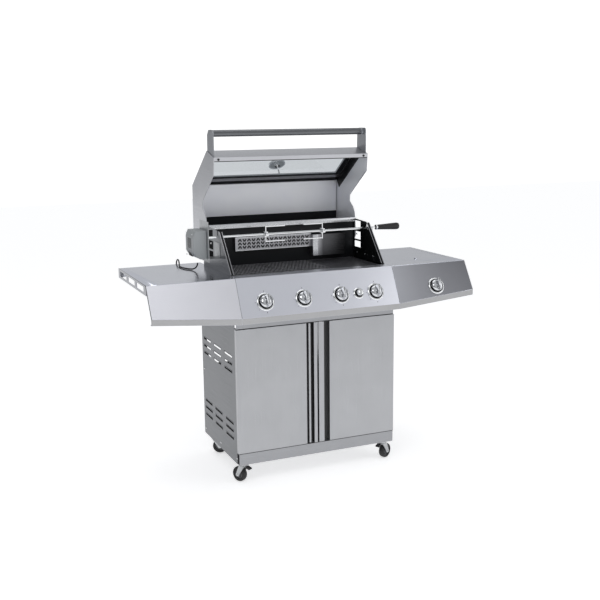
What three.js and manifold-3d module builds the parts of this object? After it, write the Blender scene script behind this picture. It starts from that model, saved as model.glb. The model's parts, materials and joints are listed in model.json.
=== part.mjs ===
// Four-knob gas barbecue on a wheeled cabinet, with two side shelves, a side burner under a flush
// lid, a rear rotisserie burner and a motor-driven spit. Millimetres, +X right, +Y back, +Z up.
import * as THREE from 'three';
import { mergeVertices } from 'three/addons/utils/BufferGeometryUtils.js';
import Module from 'manifold-3d';

const wasm = await Module();
wasm.setup();

// ---- driving dimensions ----
const sheet = 2; // thickness of the folded steel
const gap = 0.3; // clearance between pieces that touch
const panelGap = 3; // clearance between the firebox sides and the lid sides

const cabinetWidth = 728;
const cabinetDepth = 471;
const casterHeight = 90;
const plinthHeight = 49;
const railHeight = 33.4; // front rail over the doors
const doorDepth = 20;
const doorGap = 1;
const backPanelHeight = 325;

const worktopHeight = 880;
const worktopFront = 223.2; // worktop's front edge, in front of the cabinet's middle
const worktopRear = 256;
const fasciaReach = 75.2; // how far the sloping fascia runs forward
const fasciaDrop = 152.3;
const lipHeight = 24.5;
const shelfLength = 367;
const shelfSkirt = 40;
const shelfRise = 32; // how much the fascia's lower edge rises at the shelf's outer end

const fireboxHalfWidth = cabinetWidth / 2 - 10;
const fireboxFront = 163;
const fireboxRearWall = 137;
const fireboxTubDepth = 105;
const cookingHeight = worktopHeight - 4;
const cookingWidth = 2 * fireboxHalfWidth - 27; // two grates and the griddle side by side
const cheekTop = worktopHeight + 168; // top of the firebox cheeks' slanted front edges
const cheekSetback = 143;
const spitHeight = worktopHeight + 143;

const hingeY = 150;
const hingeZ = worktopHeight + 105;
const hingePinRadius = 6;
const lidSwing = 83.5; // degrees between open and closed
const lidFrontReach = 232;
const lidBandHeight = 98;
const lidPeakHeight = worktopHeight + 310.6;
const lidRoofDepth = 269;
const windowHalfWidth = fireboxHalfWidth - 32;
const windowStart = 45; // along the sloping glass panel, from its lower fold
const windowLength = 158;
const handleBarRadius = 14.5;

const knobRadius = 26;
const knobHeight = 36;
const knobStandOff = 8;
const knobAlongFascia = 108;
const stemRadius = 4;
const stemHoleRadius = 6;
const stemLength = 30; // behind the fascia
const knobPlaces = { 1: -247, 2: -78, 3: 92, 4: 254 };
const igniterPlace = 173;
const sideKnobPlace = cabinetWidth / 2 + 185.5;

const grateWireRadius = 3;
const gratePitch = 19;
const sideLidWidth = 300;
const sideLidDepth = 320;
const sideLidThickness = 12;

const spitHalfSide = 4;
const spitForkReach = 35;
const gripLength = 120;

const wheelRadius = 32.5;
const wheelWidth = 24;
const casterTrail = 22;
const casterInset = 34; // from the cabinet's side to the swivel
const casterSpread = 195; // swivels in front of and behind the middle

const cordRadius = 3;
const leadClips = {
  high: [-cabinetWidth / 2 + 12, cabinetDepth / 2 + 6.5, worktopHeight - 225],
  low: [-270, cabinetDepth / 2 + 6.5, casterHeight + 32],
};

// ---- helpers ----
const rad = THREE.MathUtils.degToRad;
const at = (x, y, z) => new THREE.Matrix4().makeTranslation(x, y, z);
const alongX = new THREE.Matrix4().makeBasis(
  new THREE.Vector3(0, 1, 0), new THREE.Vector3(0, 0, 1), new THREE.Vector3(1, 0, 0));
const alongY = new THREE.Matrix4().makeBasis(
  new THREE.Vector3(1, 0, 0), new THREE.Vector3(0, 0, 1), new THREE.Vector3(0, -1, 0));
const lathedToZ = new THREE.Matrix4().makeRotationX(Math.PI / 2);

// A closed three.js geometry becomes a solid that can be joined and cut.
function solid(geometry, matrix = new THREE.Matrix4()) {
  const bare = geometry.clone().applyMatrix4(matrix);
  bare.deleteAttribute('normal');
  bare.deleteAttribute('uv');
  const merged = mergeVertices(bare, 1e-4);
  const mesh = new wasm.Mesh({
    numProp: 3,
    vertProperties: new Float32Array(merged.attributes.position.array),
    triVerts: new Uint32Array(merged.index.array),
  });
  return new wasm.Manifold(mesh);
}

function geometryOf(manifold) {
  const mesh = manifold.getMesh();
  const geometry = new THREE.BufferGeometry();
  geometry.setAttribute('position', new THREE.BufferAttribute(new Float32Array(mesh.vertProperties), 3));
  geometry.setIndex(new THREE.BufferAttribute(new Uint32Array(mesh.triVerts), 1));
  geometry.computeVertexNormals();
  return geometry;
}

const join = (...solids) => solids.reduce((whole, piece) => whole.add(piece));

function block(x0, x1, y0, y1, z0, z1, matrix = new THREE.Matrix4()) {
  const geometry = new THREE.BoxGeometry(x1 - x0, y1 - y0, z1 - z0);
  geometry.translate((x0 + x1) / 2, (y0 + y1) / 2, (z0 + z1) / 2);
  return solid(geometry, matrix);
}

function extruded(points, from, to, basis) {
  const outline = new THREE.Shape(points.map(([a, b]) => new THREE.Vector2(a, b)));
  const geometry = new THREE.ExtrudeGeometry(outline, { depth: to - from, bevelEnabled: false });
  geometry.translate(0, 0, from);
  return solid(geometry, basis);
}

const prismX = (points, x0, x1) => extruded(points, x0, x1, alongX); // points are [y, z]
const prismY = (points, y0, y1) => extruded(points, -y1, -y0, alongY); // points are [x, z]
const prismZ = (points, z0, z1) => extruded(points, z0, z1, new THREE.Matrix4()); // points are [x, y]

function rodX(radius, x0, x1, y, z, sides = 16) {
  const geometry = new THREE.CylinderGeometry(radius, radius, x1 - x0, sides);
  geometry.rotateZ(Math.PI / 2).translate((x0 + x1) / 2, y, z);
  return solid(geometry);
}

function rodY(radius, y0, y1, x, z, sides = 16) {
  const geometry = new THREE.CylinderGeometry(radius, radius, y1 - y0, sides);
  geometry.translate(x, (y0 + y1) / 2, z);
  return solid(geometry, new THREE.Matrix4());
}

function rodZ(radius, z0, z1, x = 0, y = 0, sides = 16, topRadius = radius) {
  const geometry = new THREE.CylinderGeometry(topRadius, radius, z1 - z0, sides);
  geometry.rotateX(Math.PI / 2).translate(x, y, (z0 + z1) / 2);
  return solid(geometry);
}

// A lathe of [radius, height] points, turned about +Z.
function turned(profile, sides = 24) {
  const points = profile.map(([radius, height]) => new THREE.Vector2(radius, height));
  return solid(new THREE.LatheGeometry(points, sides), lathedToZ);
}

// The closed outline of a folded sheet: the path, and the same path moved to its left by the thickness.
function foldedOutline(path, thickness = sheet) {
  const points = path.map(([a, b]) => new THREE.Vector2(a, b));
  const sides = points.slice(1).map((p, i) => p.clone().sub(points[i]).normalize());
  const normals = sides.map((s) => new THREE.Vector2(-s.y, s.x));
  const moved = points.map((p, i) => {
    const before = normals[Math.max(i - 1, 0)];
    const after = normals[Math.min(i, normals.length - 1)];
    const mitre = before.clone().add(after);
    return p.clone().add(mitre.multiplyScalar(thickness / (1 + before.dot(after))));
  });
  return [...points, ...moved.reverse()].map((p) => [p.x, p.y]);
}

// ---- the whole object, and the two groups that turn as one ----
const grill = new THREE.Group();
const lid = new THREE.Group();
lid.position.set(0, hingeY, hingeZ);
lid.rotation.x = -rad(lidSwing);
grill.add(lid);
const cordPieces = [];

const finishes = {
  brushed: { color: 0xb8babd, roughness: 0.35, metalness: 1 },
  polished: { color: 0xc9ced6, roughness: 0.18, metalness: 1 },
  galvanised: { color: 0x9b9fa3, roughness: 0.5, metalness: 1 },
  chrome: { color: 0xd8dadd, roughness: 0.08, metalness: 1 },
  enamel: { color: 0x1b1c1f, roughness: 0.35, metalness: 0.1 },
  castIron: { color: 0x1d1d1e, roughness: 0.7, metalness: 0.4 },
  blackPlastic: { color: 0x0e0e10, roughness: 0.45, metalness: 0 },
  rubber: { color: 0x121213, roughness: 0.75, metalness: 0 },
  greyPaint: { color: 0xaeb4b4, roughness: 0.5, metalness: 0.2 },
  glass: { color: 0xb9c8d2, roughness: 0.05, metalness: 0 },
};

function place(name, piece, finish, parent = grill) {
  const mesh = new THREE.Mesh(geometryOf(piece), new THREE.MeshStandardMaterial(finishes[finish]));
  mesh.name = name;
  parent.add(mesh);
  return mesh;
}

// ---- cabinet ----
const halfWidth = cabinetWidth / 2;
const halfDepth = cabinetDepth / 2;
const carcassTop = worktopHeight - fasciaDrop - lipHeight - gap;
const doorBottom = casterHeight + plinthHeight + doorGap;
const doorTop = carcassTop - railHeight - doorGap;
const carcassFront = -halfDepth + doorDepth + gap;
const casterPlaces = {
  front_left: [-(halfWidth - casterInset), -casterSpread, 120],
  front_right: [halfWidth - casterInset, -casterSpread, 27],
  rear_left: [-(halfWidth - casterInset), casterSpread, -25],
  rear_right: [halfWidth - casterInset, casterSpread, 24],
};
const casterPadThickness = 3;
const swivelRadius = 5;

// A ring that holds the mains lead upright against a panel behind the cabinet.
function leadClip(x, y, z) {
  const reach = cordRadius + 4;
  const ring = block(x - reach, x + reach, y - reach, y + reach, z - 6, z + 6);
  return ring.subtract(rodZ(cordRadius + 1, z - 10, z + 10, x, y, 16));
}

function basePanel() {
  const path = [
    [halfDepth, casterHeight + plinthHeight],
    [halfDepth, casterHeight],
    [-halfDepth, casterHeight],
    [-halfDepth, casterHeight + plinthHeight],
    [carcassFront, casterHeight + plinthHeight],
  ];
  const inside = halfWidth - sheet - gap;
  let panel = prismX(foldedOutline([...path].reverse()), -inside, inside);
  for (const [x, y] of Object.values(casterPlaces)) {
    const pad = 24;
    panel = panel.add(block(x - pad, x + pad, y - pad, y + pad,
      casterHeight - casterPadThickness, casterHeight + sheet));
    panel = panel.subtract(rodZ(swivelRadius + gap, casterHeight - 10, casterHeight + 10, x, y, 20));
  }
  return panel.add(leadClip(...leadClips.low));
}

// Louvre slots in two groups of three by three.
function louvredSide(side) {
  const x0 = side < 0 ? -halfWidth : halfWidth - sheet;
  const fold = 22;
  const foldX = side < 0 ? -halfWidth : halfWidth - fold;
  const railFront = carcassFront + doorDepth + 6;
  let panel = join(
    block(x0, x0 + sheet, carcassFront, halfDepth, casterHeight, carcassTop),
    block(foldX, foldX + fold, railFront, halfDepth, carcassTop - sheet, carcassTop),
    block(foldX, foldX + fold, halfDepth - sheet, halfDepth, casterHeight + backPanelHeight + 1, carcassTop),
  );
  if (side < 0) {
    panel = panel.add(leadClip(...leadClips.high));
  }
  const slotLength = 98;
  const slotHeight = 9;
  for (const middleRow of [511, 221]) {
    for (const row of [-1, 0, 1]) {
      for (const y of [-127, 19, 160]) {
        const z = middleRow + row * 33;
        panel = panel.subtract(block(x0 - 1, x0 + sheet + 1, y - slotLength / 2, y + slotLength / 2,
          z - slotHeight / 2, z + slotHeight / 2));
      }
    }
  }
  return panel;
}

function backPanel() {
  const inside = halfWidth - sheet - gap;
  return block(-inside, inside, halfDepth - sheet - gap - sheet, halfDepth - sheet - gap,
    casterHeight + sheet + gap, casterHeight + backPanelHeight);
}

function frontRail() {
  const inside = halfWidth - sheet - gap;
  const front = -halfDepth + 4;
  return prismX(foldedOutline([
    [front + doorDepth + 2, carcassTop],
    [front, carcassTop],
    [front, doorTop + doorGap],
    [front + doorDepth + 10, doorTop + doorGap],
  ]), -inside, inside);
}

place('base_panel', basePanel(), 'brushed');
place('side_panel_left', louvredSide(-1), 'brushed');
place('side_panel_right', louvredSide(1), 'brushed');
place('back_panel', backPanel(), 'brushed');
place('front_rail', frontRail(), 'brushed');

// ---- doors: folded pans with a recessed full-height pull beside the meeting edge ----
const doorFront = -halfDepth;
const doorBack = -halfDepth + doorDepth;
const pullFloor = doorBack - sheet - 2;

function door(corners, faceFrom, faceTo) {
  const body = prismZ(foldedOutline(corners), doorBottom, doorTop);
  const cap = (z) => block(faceFrom, faceTo, doorFront, doorBack, z, z + sheet);
  return join(body, cap(doorBottom), cap(doorTop - sheet));
}

place('door_left', door([
  [-halfWidth, doorBack], [-halfWidth, doorFront], [-52.8, doorFront], [-52.8, pullFloor],
  [-18.5, pullFloor], [-18.5, doorFront], [-3.8, doorFront], [-3.8, doorBack],
], -halfWidth, -52.8), 'brushed');
place('door_right', door([
  [3.5, doorBack], [3.5, doorFront], [28, doorFront], [28, pullFloor],
  [43, pullFloor], [50, pullFloor - 6], [54, doorFront], [halfWidth, doorFront], [halfWidth, doorBack],
], 54, halfWidth), 'brushed');

// ---- casters ----
const wheelClearance = 2.5;
const forkLeg = 3;
const axleRadius = 4;
const crownRadius = 17;

function casterFork(withStop) {
  const inner = wheelWidth / 2 + wheelClearance;
  const crownBottom = 2 * wheelRadius + 4;
  const crownTop = casterHeight - casterPadThickness - gap;
  const crown = rodZ(crownRadius, crownBottom, crownTop, 0, 0, 20);
  const swivel = rodZ(swivelRadius, crownTop - 1, casterHeight + sheet + 4, 0, 0, 16);
  const leg = [[-14, crownBottom + 4], [14, crownBottom + 4], [casterTrail + 9, wheelRadius - 2],
    [casterTrail + 5, wheelRadius - 8], [casterTrail - 5, wheelRadius - 8]];
  const bridge = block(-14, 14, -inner - forkLeg, inner + forkLeg, crownBottom, crownBottom + 4);
  const axle = rodY(axleRadius, -inner - forkLeg - 2, inner + forkLeg + 2, casterTrail, wheelRadius, 12);
  const fork = join(crown, swivel, bridge, axle, prismY(leg, -inner - forkLeg, -inner),
    prismY(leg, inner, inner + forkLeg));
  return withStop ? fork.add(block(-crownRadius, -10, -6, 6, crownBottom, crownBottom + 4)) : fork;
}

function casterWheel() {
  const bore = axleRadius + gap;
  return turned([[bore, -wheelWidth / 2], [wheelRadius - 4, -wheelWidth / 2], [wheelRadius, -wheelWidth / 2 + 4],
    [wheelRadius, wheelWidth / 2 - 4], [wheelRadius - 4, wheelWidth / 2], [bore, wheelWidth / 2],
    [bore, -wheelWidth / 2]], 32);
}

// The brake pedal stands out on the side away from the wheel.
function brakeLever() {
  return prismY([[0, 4], [0, 0], [-5, -4], [-18, -8], [-22, -4], [-18, 0], [-5, 5]], -9, 9);
}

for (const [where, [x, y, turn]] of Object.entries(casterPlaces)) {
  const caster = new THREE.Group();
  caster.position.set(x, y, 0);
  caster.rotation.z = rad(turn);
  grill.add(caster);
  place(`caster_fork_${where}`, casterFork(where.startsWith('front')), 'galvanised', caster);
  const wheel = place(`caster_wheel_${where}`, casterWheel(), 'rubber', caster);
  wheel.rotation.x = Math.PI / 2;
  wheel.position.set(casterTrail, 0, wheelRadius);
  if (where.startsWith('front')) {
    const lever = place(`brake_lever_${where}`, brakeLever(), 'blackPlastic', caster);
    lever.position.set(-crownRadius - gap, 0, 2 * wheelRadius + 4);
  }
}

// ---- worktop: control panel and shelves ----
const fasciaTop = [-worktopFront, worktopHeight];
const fasciaFoot = [-worktopFront - fasciaReach, worktopHeight - fasciaDrop];
const lipFoot = [fasciaFoot[0], fasciaFoot[1] - lipHeight];
const seamX = fireboxHalfWidth + 3.6;

// How far the fascia's foot is raised at x, out along a shelf.
const riseAt = (x) => shelfRise * Math.max(0, (Math.abs(x) - seamX) / shelfLength);

// A frame on the fascia: z out of it, y up the slope, x along it.
function fasciaFrame(x, along, lift = 0) {
  const foot = new THREE.Vector3(0, fasciaFoot[0], fasciaFoot[1] + riseAt(x));
  const top = new THREE.Vector3(0, fasciaTop[0], fasciaTop[1]);
  const up = top.clone().sub(foot);
  const share = along / up.length();
  up.normalize();
  const lean = Math.sign(x) * share * (riseAt(x) > 0 ? shelfRise / shelfLength : 0);
  const across = new THREE.Vector3(1, 0, lean).normalize();
  const out = across.clone().cross(up).normalize();
  const point = top.addScaledVector(up, -along).addScaledVector(out, lift).setX(x + out.x * lift);
  const frame = new THREE.Matrix4().makeBasis(across, out.clone().cross(across), out);
  return frame.setPosition(point);
}

function stemHole(x) {
  const geometry = new THREE.CylinderGeometry(stemHoleRadius, stemHoleRadius, 30, 20);
  geometry.rotateX(Math.PI / 2);
  return solid(geometry, fasciaFrame(x, knobAlongFascia));
}

function controlPanel() {
  const outline = foldedOutline([
    [-fireboxFront - gap, worktopHeight], fasciaTop, fasciaFoot, lipFoot,
    [-halfDepth + 20, lipFoot[1]],
  ]);
  const panel = prismX(outline, -seamX + gap, seamX - gap);
  return [...Object.values(knobPlaces), igniterPlace].reduce((p, x) => p.subtract(stemHole(x)), panel);
}

const sideWell = {
  x0: seamX + 44.4, x1: seamX + 44.4 + sideLidWidth, y0: -110, y1: -110 + sideLidDepth,
};
const lidSeam = 1;
const trivetBottom = worktopHeight - 32;

function shelf(side) {
  const outerX = seamX + shelfLength;
  const outline = foldedOutline([
    [worktopRear, worktopHeight - shelfSkirt], [worktopRear, worktopHeight], fasciaTop, fasciaFoot, lipFoot,
    [lipFoot[0] + 16, lipFoot[1]],
  ]);
  const shape = new THREE.Shape(outline.map(([a, b]) => new THREE.Vector2(a, b)));
  const geometry = new THREE.ExtrudeGeometry(shape, { depth: shelfLength, steps: 12, bevelEnabled: false });
  geometry.applyMatrix4(alongX).translate(seamX, 0, 0);
  // The front's lower edge and lip rise towards the outer end.
  const position = geometry.attributes.position;
  for (let i = 0; i < position.count; i += 1) {
    if (position.getZ(i) < fasciaFoot[1] + 10) {
      position.setZ(i, position.getZ(i) + riseAt(position.getX(i)));
    }
  }
  const skirtBottom = worktopHeight - shelfSkirt;
  let piece = solid(geometry);
  const end = block(outerX - sheet, outerX, -worktopFront - 10, worktopRear, skirtBottom, worktopHeight);
  const slope = prismX([[-worktopFront, worktopHeight + 1], [-worktopFront - fasciaReach, fasciaFoot[1] + shelfRise],
    [-worktopFront - 100, fasciaFoot[1] + shelfRise], [-worktopFront - 100, worktopHeight + 1]], seamX, outerX + 1);
  piece = piece.add(end.subtract(slope));
  piece = piece.add(block(fireboxHalfWidth + gap, seamX + sheet, -fireboxFront, worktopRear,
    worktopHeight - sheet, worktopHeight));
  piece = piece.add(block(seamX, seamX + sheet, -fireboxFront, worktopRear, skirtBottom, worktopHeight));
  for (const y of [-135, 15, 165]) {
    piece = piece.subtract(block(outerX - 10, outerX + 10, y - 57, y + 57, worktopHeight - 30, worktopHeight - 9));
  }
  if (side > 0) {
    piece = piece.subtract(block(sideWell.x0 - lidSeam, sideWell.x1 + lidSeam, sideWell.y0 - lidSeam,
      sideWell.y1 + lidSeam, worktopHeight - 6, worktopHeight + 6));
    return piece.subtract(stemHole(sideKnobPlace));
  }
  return piece.mirror([1, 0, 0]);
}

place('control_panel', controlPanel(), 'brushed');
place('shelf_left', shelf(-1), 'polished');
place('shelf_right', shelf(1), 'polished');

// ---- side burner under its flush lid ----
function sideBurnerPan() {
  const top = worktopHeight - sheet - gap;
  const [x0, x1, y0, y1] = [sideWell.x0 + 6, sideWell.x1 - 6, sideWell.y0 + 6, sideWell.y1 - 6];
  const depth = 62;
  const rim = block(x0 - 16, x1 + 16, y0 - 16, y1 + 4, top - sheet, top);
  const tub = block(x0, x1, y0, y1, top - depth, top);
  const hollow = block(x0 + sheet, x1 - sheet, y0 + sheet, y1 - sheet, top - depth + sheet, top + 1);
  const middle = [(x0 + x1) / 2, (y0 + y1) / 2];
  const head = rodZ(40, top - depth + sheet - 1, top - depth + 26, ...middle, 24);
  const rest = trivetBottom - gap;
  const ledges = [[y0 + 1, y0 + 10], [y1 - 10, y1 - 1]].map(([a, b]) => block(x0 + 1, x1 - 1, a, b, rest - sheet, rest));
  return join(join(rim, tub).subtract(hollow), head, ...ledges);
}

function sideTrivet() {
  const z = trivetBottom;
  const [x0, x1, y0, y1] = [sideWell.x0 + 6, sideWell.x1 - 6, sideWell.y0 + 6, sideWell.y1 - 6];
  const inset = sheet + gap;
  const bars = [];
  for (const share of [0.2, 0.5, 0.8]) {
    const x = x0 + share * (x1 - x0);
    bars.push(block(x - 3, x + 3, y0 + inset, y1 - inset, z, z + 8));
  }
  for (const share of [0.25, 0.5, 0.75]) {
    const y = y0 + share * (y1 - y0);
    bars.push(block(x0 + inset, x1 - inset, y - 3, y + 3, z, z + 8));
  }
  return join(...bars);
}

function sideBurnerLid() {
  const { x0, x1, y0, y1 } = sideWell;
  const plate = block(x0, x1, y0, y1, worktopHeight - sheet, worktopHeight);
  const rim = block(x0 + 10, x1 - 10, y0 + 10, y1 - 10, worktopHeight - sideLidThickness,
    worktopHeight - sheet + 0.1);
  const inside = block(x0 + 12, x1 - 12, y0 + 12, y1 - 12, worktopHeight - sideLidThickness - 1,
    worktopHeight - sheet);
  const lift = rodZ(7, worktopHeight - 0.5, worktopHeight + 5, (x0 + x1) / 2, y0 + 18, 16, 6);
  return join(plate, rim.subtract(inside), lift);
}

place('side_burner_pan', sideBurnerPan(), 'enamel');
place('side_burner_trivet', sideTrivet(), 'castIron');
place('side_burner_lid', sideBurnerLid(), 'polished');

// ---- knobs and igniter ----
function knob() {
  const skirt = turned([[0, knobStandOff], [knobRadius, knobStandOff], [knobRadius, knobStandOff + 5],
    [knobRadius - 3, knobStandOff + 10], [0, knobStandOff + 10]], 28);
  const top = knobStandOff + knobHeight;
  const bar = prismX([[-knobRadius + 1, knobStandOff + 8], [knobRadius - 1, knobStandOff + 8],
    [knobRadius - 4, top - 3], [knobRadius - 7, top], [-knobRadius + 7, top], [-knobRadius + 4, top - 3]], -6.5, 6.5);
  return join(skirt, bar, rodZ(stemRadius, -stemLength, knobStandOff + 2, 0, 0, 12));
}

function igniter() {
  const cap = turned([[0, knobStandOff], [13, knobStandOff], [13, knobStandOff + 11], [11, knobStandOff + 14],
    [0, knobStandOff + 14]], 24);
  return cap.add(rodZ(stemRadius, -stemLength, knobStandOff + 1, 0, 0, 12));
}

function onFascia(mesh, x) {
  mesh.applyMatrix4(fasciaFrame(x, knobAlongFascia));
}

for (const [number, x] of Object.entries(knobPlaces)) {
  onFascia(place(`knob_${number}`, knob(), 'chrome'), x);
}
onFascia(place('knob_side_burner', knob(), 'chrome'), sideKnobPlace);
onFascia(place('igniter_button', igniter(), 'chrome'), igniterPlace);

// ---- firebox ----
const tubFloor = worktopHeight - fireboxTubDepth;
const spitNotch = 5.5;
const burnerPlaces = [-226, 0, 226];
const burnerRadius = 17;
const burnerHeight = tubFloor + 42;
const tentRidge = burnerHeight + 46;
const burnerBottom = worktopHeight + 61; // the rear burner's
const trayHalfWidth = 120;
const trayBottom = carcassTop + 3.5;

function fireboxSide(side) {
  const cheekY = -fireboxFront + cheekSetback;
  const rear = fireboxRearWall;
  const outline = [
    [-fireboxFront, carcassTop + gap], [rear + 68, carcassTop + gap], [rear + 68, worktopHeight + 35], [hingeY + 20, hingeZ - 57],
    [hingeY + 26, hingeZ - 44], [hingeY + 40, hingeZ], [hingeY + 28, hingeZ + 42], [hingeY + 4, cheekTop + 8],
    [spitNotch, cheekTop + 1], [spitNotch, spitHeight - spitNotch], [-spitNotch, spitHeight - spitNotch],
    [-spitNotch, cheekTop], [cheekY, cheekTop], [-fireboxFront, worktopHeight + 2],
  ];
  const outer = fireboxHalfWidth;
  let panel = prismX(outline, outer - sheet, outer);
  // The slanted front edge is folded inwards.
  const length = Math.hypot(cheekSetback, cheekTop - worktopHeight - 2);
  const fold = foldedOutline([[-fireboxFront, worktopHeight + 2], [cheekY, cheekTop]], -sheet);
  panel = panel.add(prismX(fold, outer - 14, outer - sheet / 2).intersect(
    block(0, outer, -fireboxFront, -fireboxFront + length, worktopHeight + 2, cheekTop + 20)));
  for (const [low, high] of [[45, 73], [81, 117], [132, 166]]) {
    panel = panel.subtract(block(outer - 5, outer + 5, 64, 124, worktopHeight + low, worktopHeight + high));
  }
  panel = panel.add(rodX(hingePinRadius, outer - 1, outer + panelGap + sheet + 3, hingeY, hingeZ, 16));
  panel = panel.add(rodX(hingePinRadius + 5, outer - 1, outer + panelGap - gap, hingeY, hingeZ, 16));
  return side > 0 ? panel : panel.mirror([1, 0, 0]);
}

function fireboxTub() {
  const inside = fireboxHalfWidth - sheet - gap;
  const front = -fireboxFront;
  const barDepth = 16;
  const wallTop = cheekTop + 10;
  const path = [
    [front, worktopHeight - 4], [front, tubFloor], [0, tubFloor - 20], [fireboxRearWall, tubFloor],
    [fireboxRearWall, wallTop], [fireboxRearWall - barDepth, wallTop], [fireboxRearWall - barDepth, wallTop - 17],
  ];
  let tub = prismX(foldedOutline(path), -inside, inside);
  const ledge = cookingHeight - 3 * grateWireRadius - gap;
  tub = tub.add(block(-inside, inside, front + 1, front + 12, ledge - sheet, ledge));
  tub = tub.add(block(-inside, inside, fireboxRearWall - 14, fireboxRearWall - 1, ledge - sheet, ledge));
  tub = tub.subtract(rodZ(30, tubFloor - 40, tubFloor + 10, 0, 0, 24));
  for (const x of burnerPlaces) {
    tub = tub.subtract(rodY(burnerRadius + gap, front - 5, front + 6, x, burnerHeight, 16));
    // A rest under the tube's far end, and a peg under each end of the tent's ridge.
    tub = tub.add(block(x - 9, x + 9, 96, 100, tubFloor - 10, burnerHeight - burnerRadius - gap));
    for (const [y0, y1] of [[front + 1, front + 14], [fireboxRearWall - 20, fireboxRearWall - 1]]) {
      tub = tub.add(block(x - 2, x + 2, y0, y1, tentRidge - 3 * sheet - 2, tentRidge - 1.5 * sheet - 1));
    }
  }
  // The grease tray's two runners hang under the floor.
  for (const side of [-1, 1]) {
    const webAt = side * (trayHalfWidth + 1.5);
    const footAt = side * (trayHalfWidth - 5);
    const foot = trayBottom - gap;
    const web = [[-150, foot - sheet], [165, foot - sheet], [fireboxRearWall - 1, tubFloor + 1], [0, tubFloor - 19],
      [-150, tubFloor - 1]];
    tub = tub.add(prismX(web, webAt - 1, webAt + 1));
    tub = tub.add(block(Math.min(webAt, footAt), Math.max(webAt, footAt), -150, 165, foot - sheet, foot));
  }
  return tub;
}


function burnerTube(x) {
  const outer = rodY(burnerRadius, -fireboxFront - 20, fireboxRearWall - 22, x, burnerHeight, 16);
  return outer.subtract(rodY(burnerRadius - 2, -fireboxFront - 30, fireboxRearWall - 26, x, burnerHeight, 16));
}

function heatTent(x) {
  return prismY(foldedOutline([[x + 55, tentRidge - 34], [x, tentRidge], [x - 55, tentRidge - 34]]),
    -fireboxFront + sheet + gap, fireboxRearWall - 14);
}

// The gas pipe along the panel, with a valve behind each knob and a nozzle into each burner tube.
function manifold() {
  const valveDepth = 66;
  const behind = new THREE.Vector3().setFromMatrixPosition(fasciaFrame(0, knobAlongFascia, -valveDepth));
  const farthest = Math.max(...Object.values(knobPlaces).map(Math.abs));
  let pipe = rodX(8, -farthest - 30, farthest + 30, behind.y, behind.z, 12);
  for (const x of burnerPlaces) {
    const nozzleY = behind.y;
    pipe = pipe.add(rodZ(6, behind.z, burnerHeight + 6, x, nozzleY, 12));
    pipe = pipe.add(rodY(6, nozzleY, -fireboxFront - 12, x, burnerHeight, 12));
  }
  for (const x of Object.values(knobPlaces)) {
    const valve = rodZ(11, -valveDepth, -12, 0, 0, 16).subtract(rodZ(stemRadius + gap, -stemLength - 2, 0, 0, 0, 16));
    pipe = pipe.add(valve.transform(fasciaFrame(x, knobAlongFascia).toArray()));
  }
  return pipe;
}

const surfaceWidth = cookingWidth / 3;
const surfaceFront = -fireboxFront + sheet + 1.5;
const surfaceRear = fireboxRearWall - sheet - 1.5;

function grate(x0, x1) {
  const z = cookingHeight - 2 * grateWireRadius;
  const rail = (y) => block(x0, x1, y, y + 6, z - 3, z + 3);
  const bars = [rail(surfaceFront), rail(surfaceRear - 6), rail((surfaceFront + surfaceRear) / 2)];
  const count = Math.floor((x1 - x0 - 6) / gratePitch);
  for (let i = 0; i <= count; i += 1) {
    const x = x0 + 3 + (i * (x1 - x0 - 6)) / count;
    bars.push(block(x - grateWireRadius, x + grateWireRadius, surfaceFront, surfaceRear,
      cookingHeight - 2 * grateWireRadius, cookingHeight));
  }
  return join(...bars);
}

function griddle(x0, x1) {
  const z = cookingHeight - 9;
  const plate = block(x0, x1, surfaceFront, surfaceRear, z, cookingHeight);
  const well = block(x0 + 6, x1 - 6, surfaceFront + 6, surfaceRear - 6, z + 5, cookingHeight + 1);
  return plate.subtract(well);
}

function rearBurner() {
  return block(-237, 125, fireboxRearWall - 25, fireboxRearWall - sheet - gap, burnerBottom, burnerBottom + 60);
}

function burnerShield() {
  const [x0, x1] = [126, 285];
  const front = fireboxRearWall - 46;
  const back = fireboxRearWall - sheet - gap;
  return prismZ(foldedOutline([[x1, back], [x1, front], [x0, front], [x0, back]], -sheet),
    worktopHeight + 19, worktopHeight + 115);
}

place('firebox_side_left', fireboxSide(-1), 'enamel');
place('firebox_side_right', fireboxSide(1), 'enamel');
place('firebox_tub', fireboxTub(), 'enamel');
burnerPlaces.forEach((x, i) => {
  place(`burner_tube_${i + 1}`, burnerTube(x), 'galvanised');
  place(`heat_tent_${i + 1}`, heatTent(x), 'galvanised');
});
place('gas_manifold', manifold(), 'galvanised');
const surfaces = [-1.5, -0.5, 0.5].map((share) => share * surfaceWidth);
place('grate_left', grate(surfaces[0], surfaces[0] + surfaceWidth - 1), 'castIron');
place('grate_centre', grate(surfaces[1], surfaces[1] + surfaceWidth - 1), 'castIron');
place('griddle', griddle(surfaces[2], surfaces[2] + surfaceWidth - 1), 'castIron');
place('rear_burner', rearBurner(), 'brushed');
place('burner_shield', burnerShield(), 'polished');

// ---- grease tray under the tub, drawn out to the rear ----
function greaseTray() {
  const [x0, x1, y0, y1] = [-trayHalfWidth, trayHalfWidth, -150, halfDepth - 40];
  const [z0, z1] = [trayBottom, trayBottom + 28];
  const body = block(x0, x1, y0, y1, z0, z1);
  const hollow = block(x0 + sheet, x1 - sheet, y0 + sheet, y1 - sheet, z0 + sheet, z1 + 1);
  return body.subtract(hollow).add(block(-40, 40, y1 - 1, y1 + 18, z1 - sheet, z1));
}
place('grease_tray', greaseTray(), 'galvanised');

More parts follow.
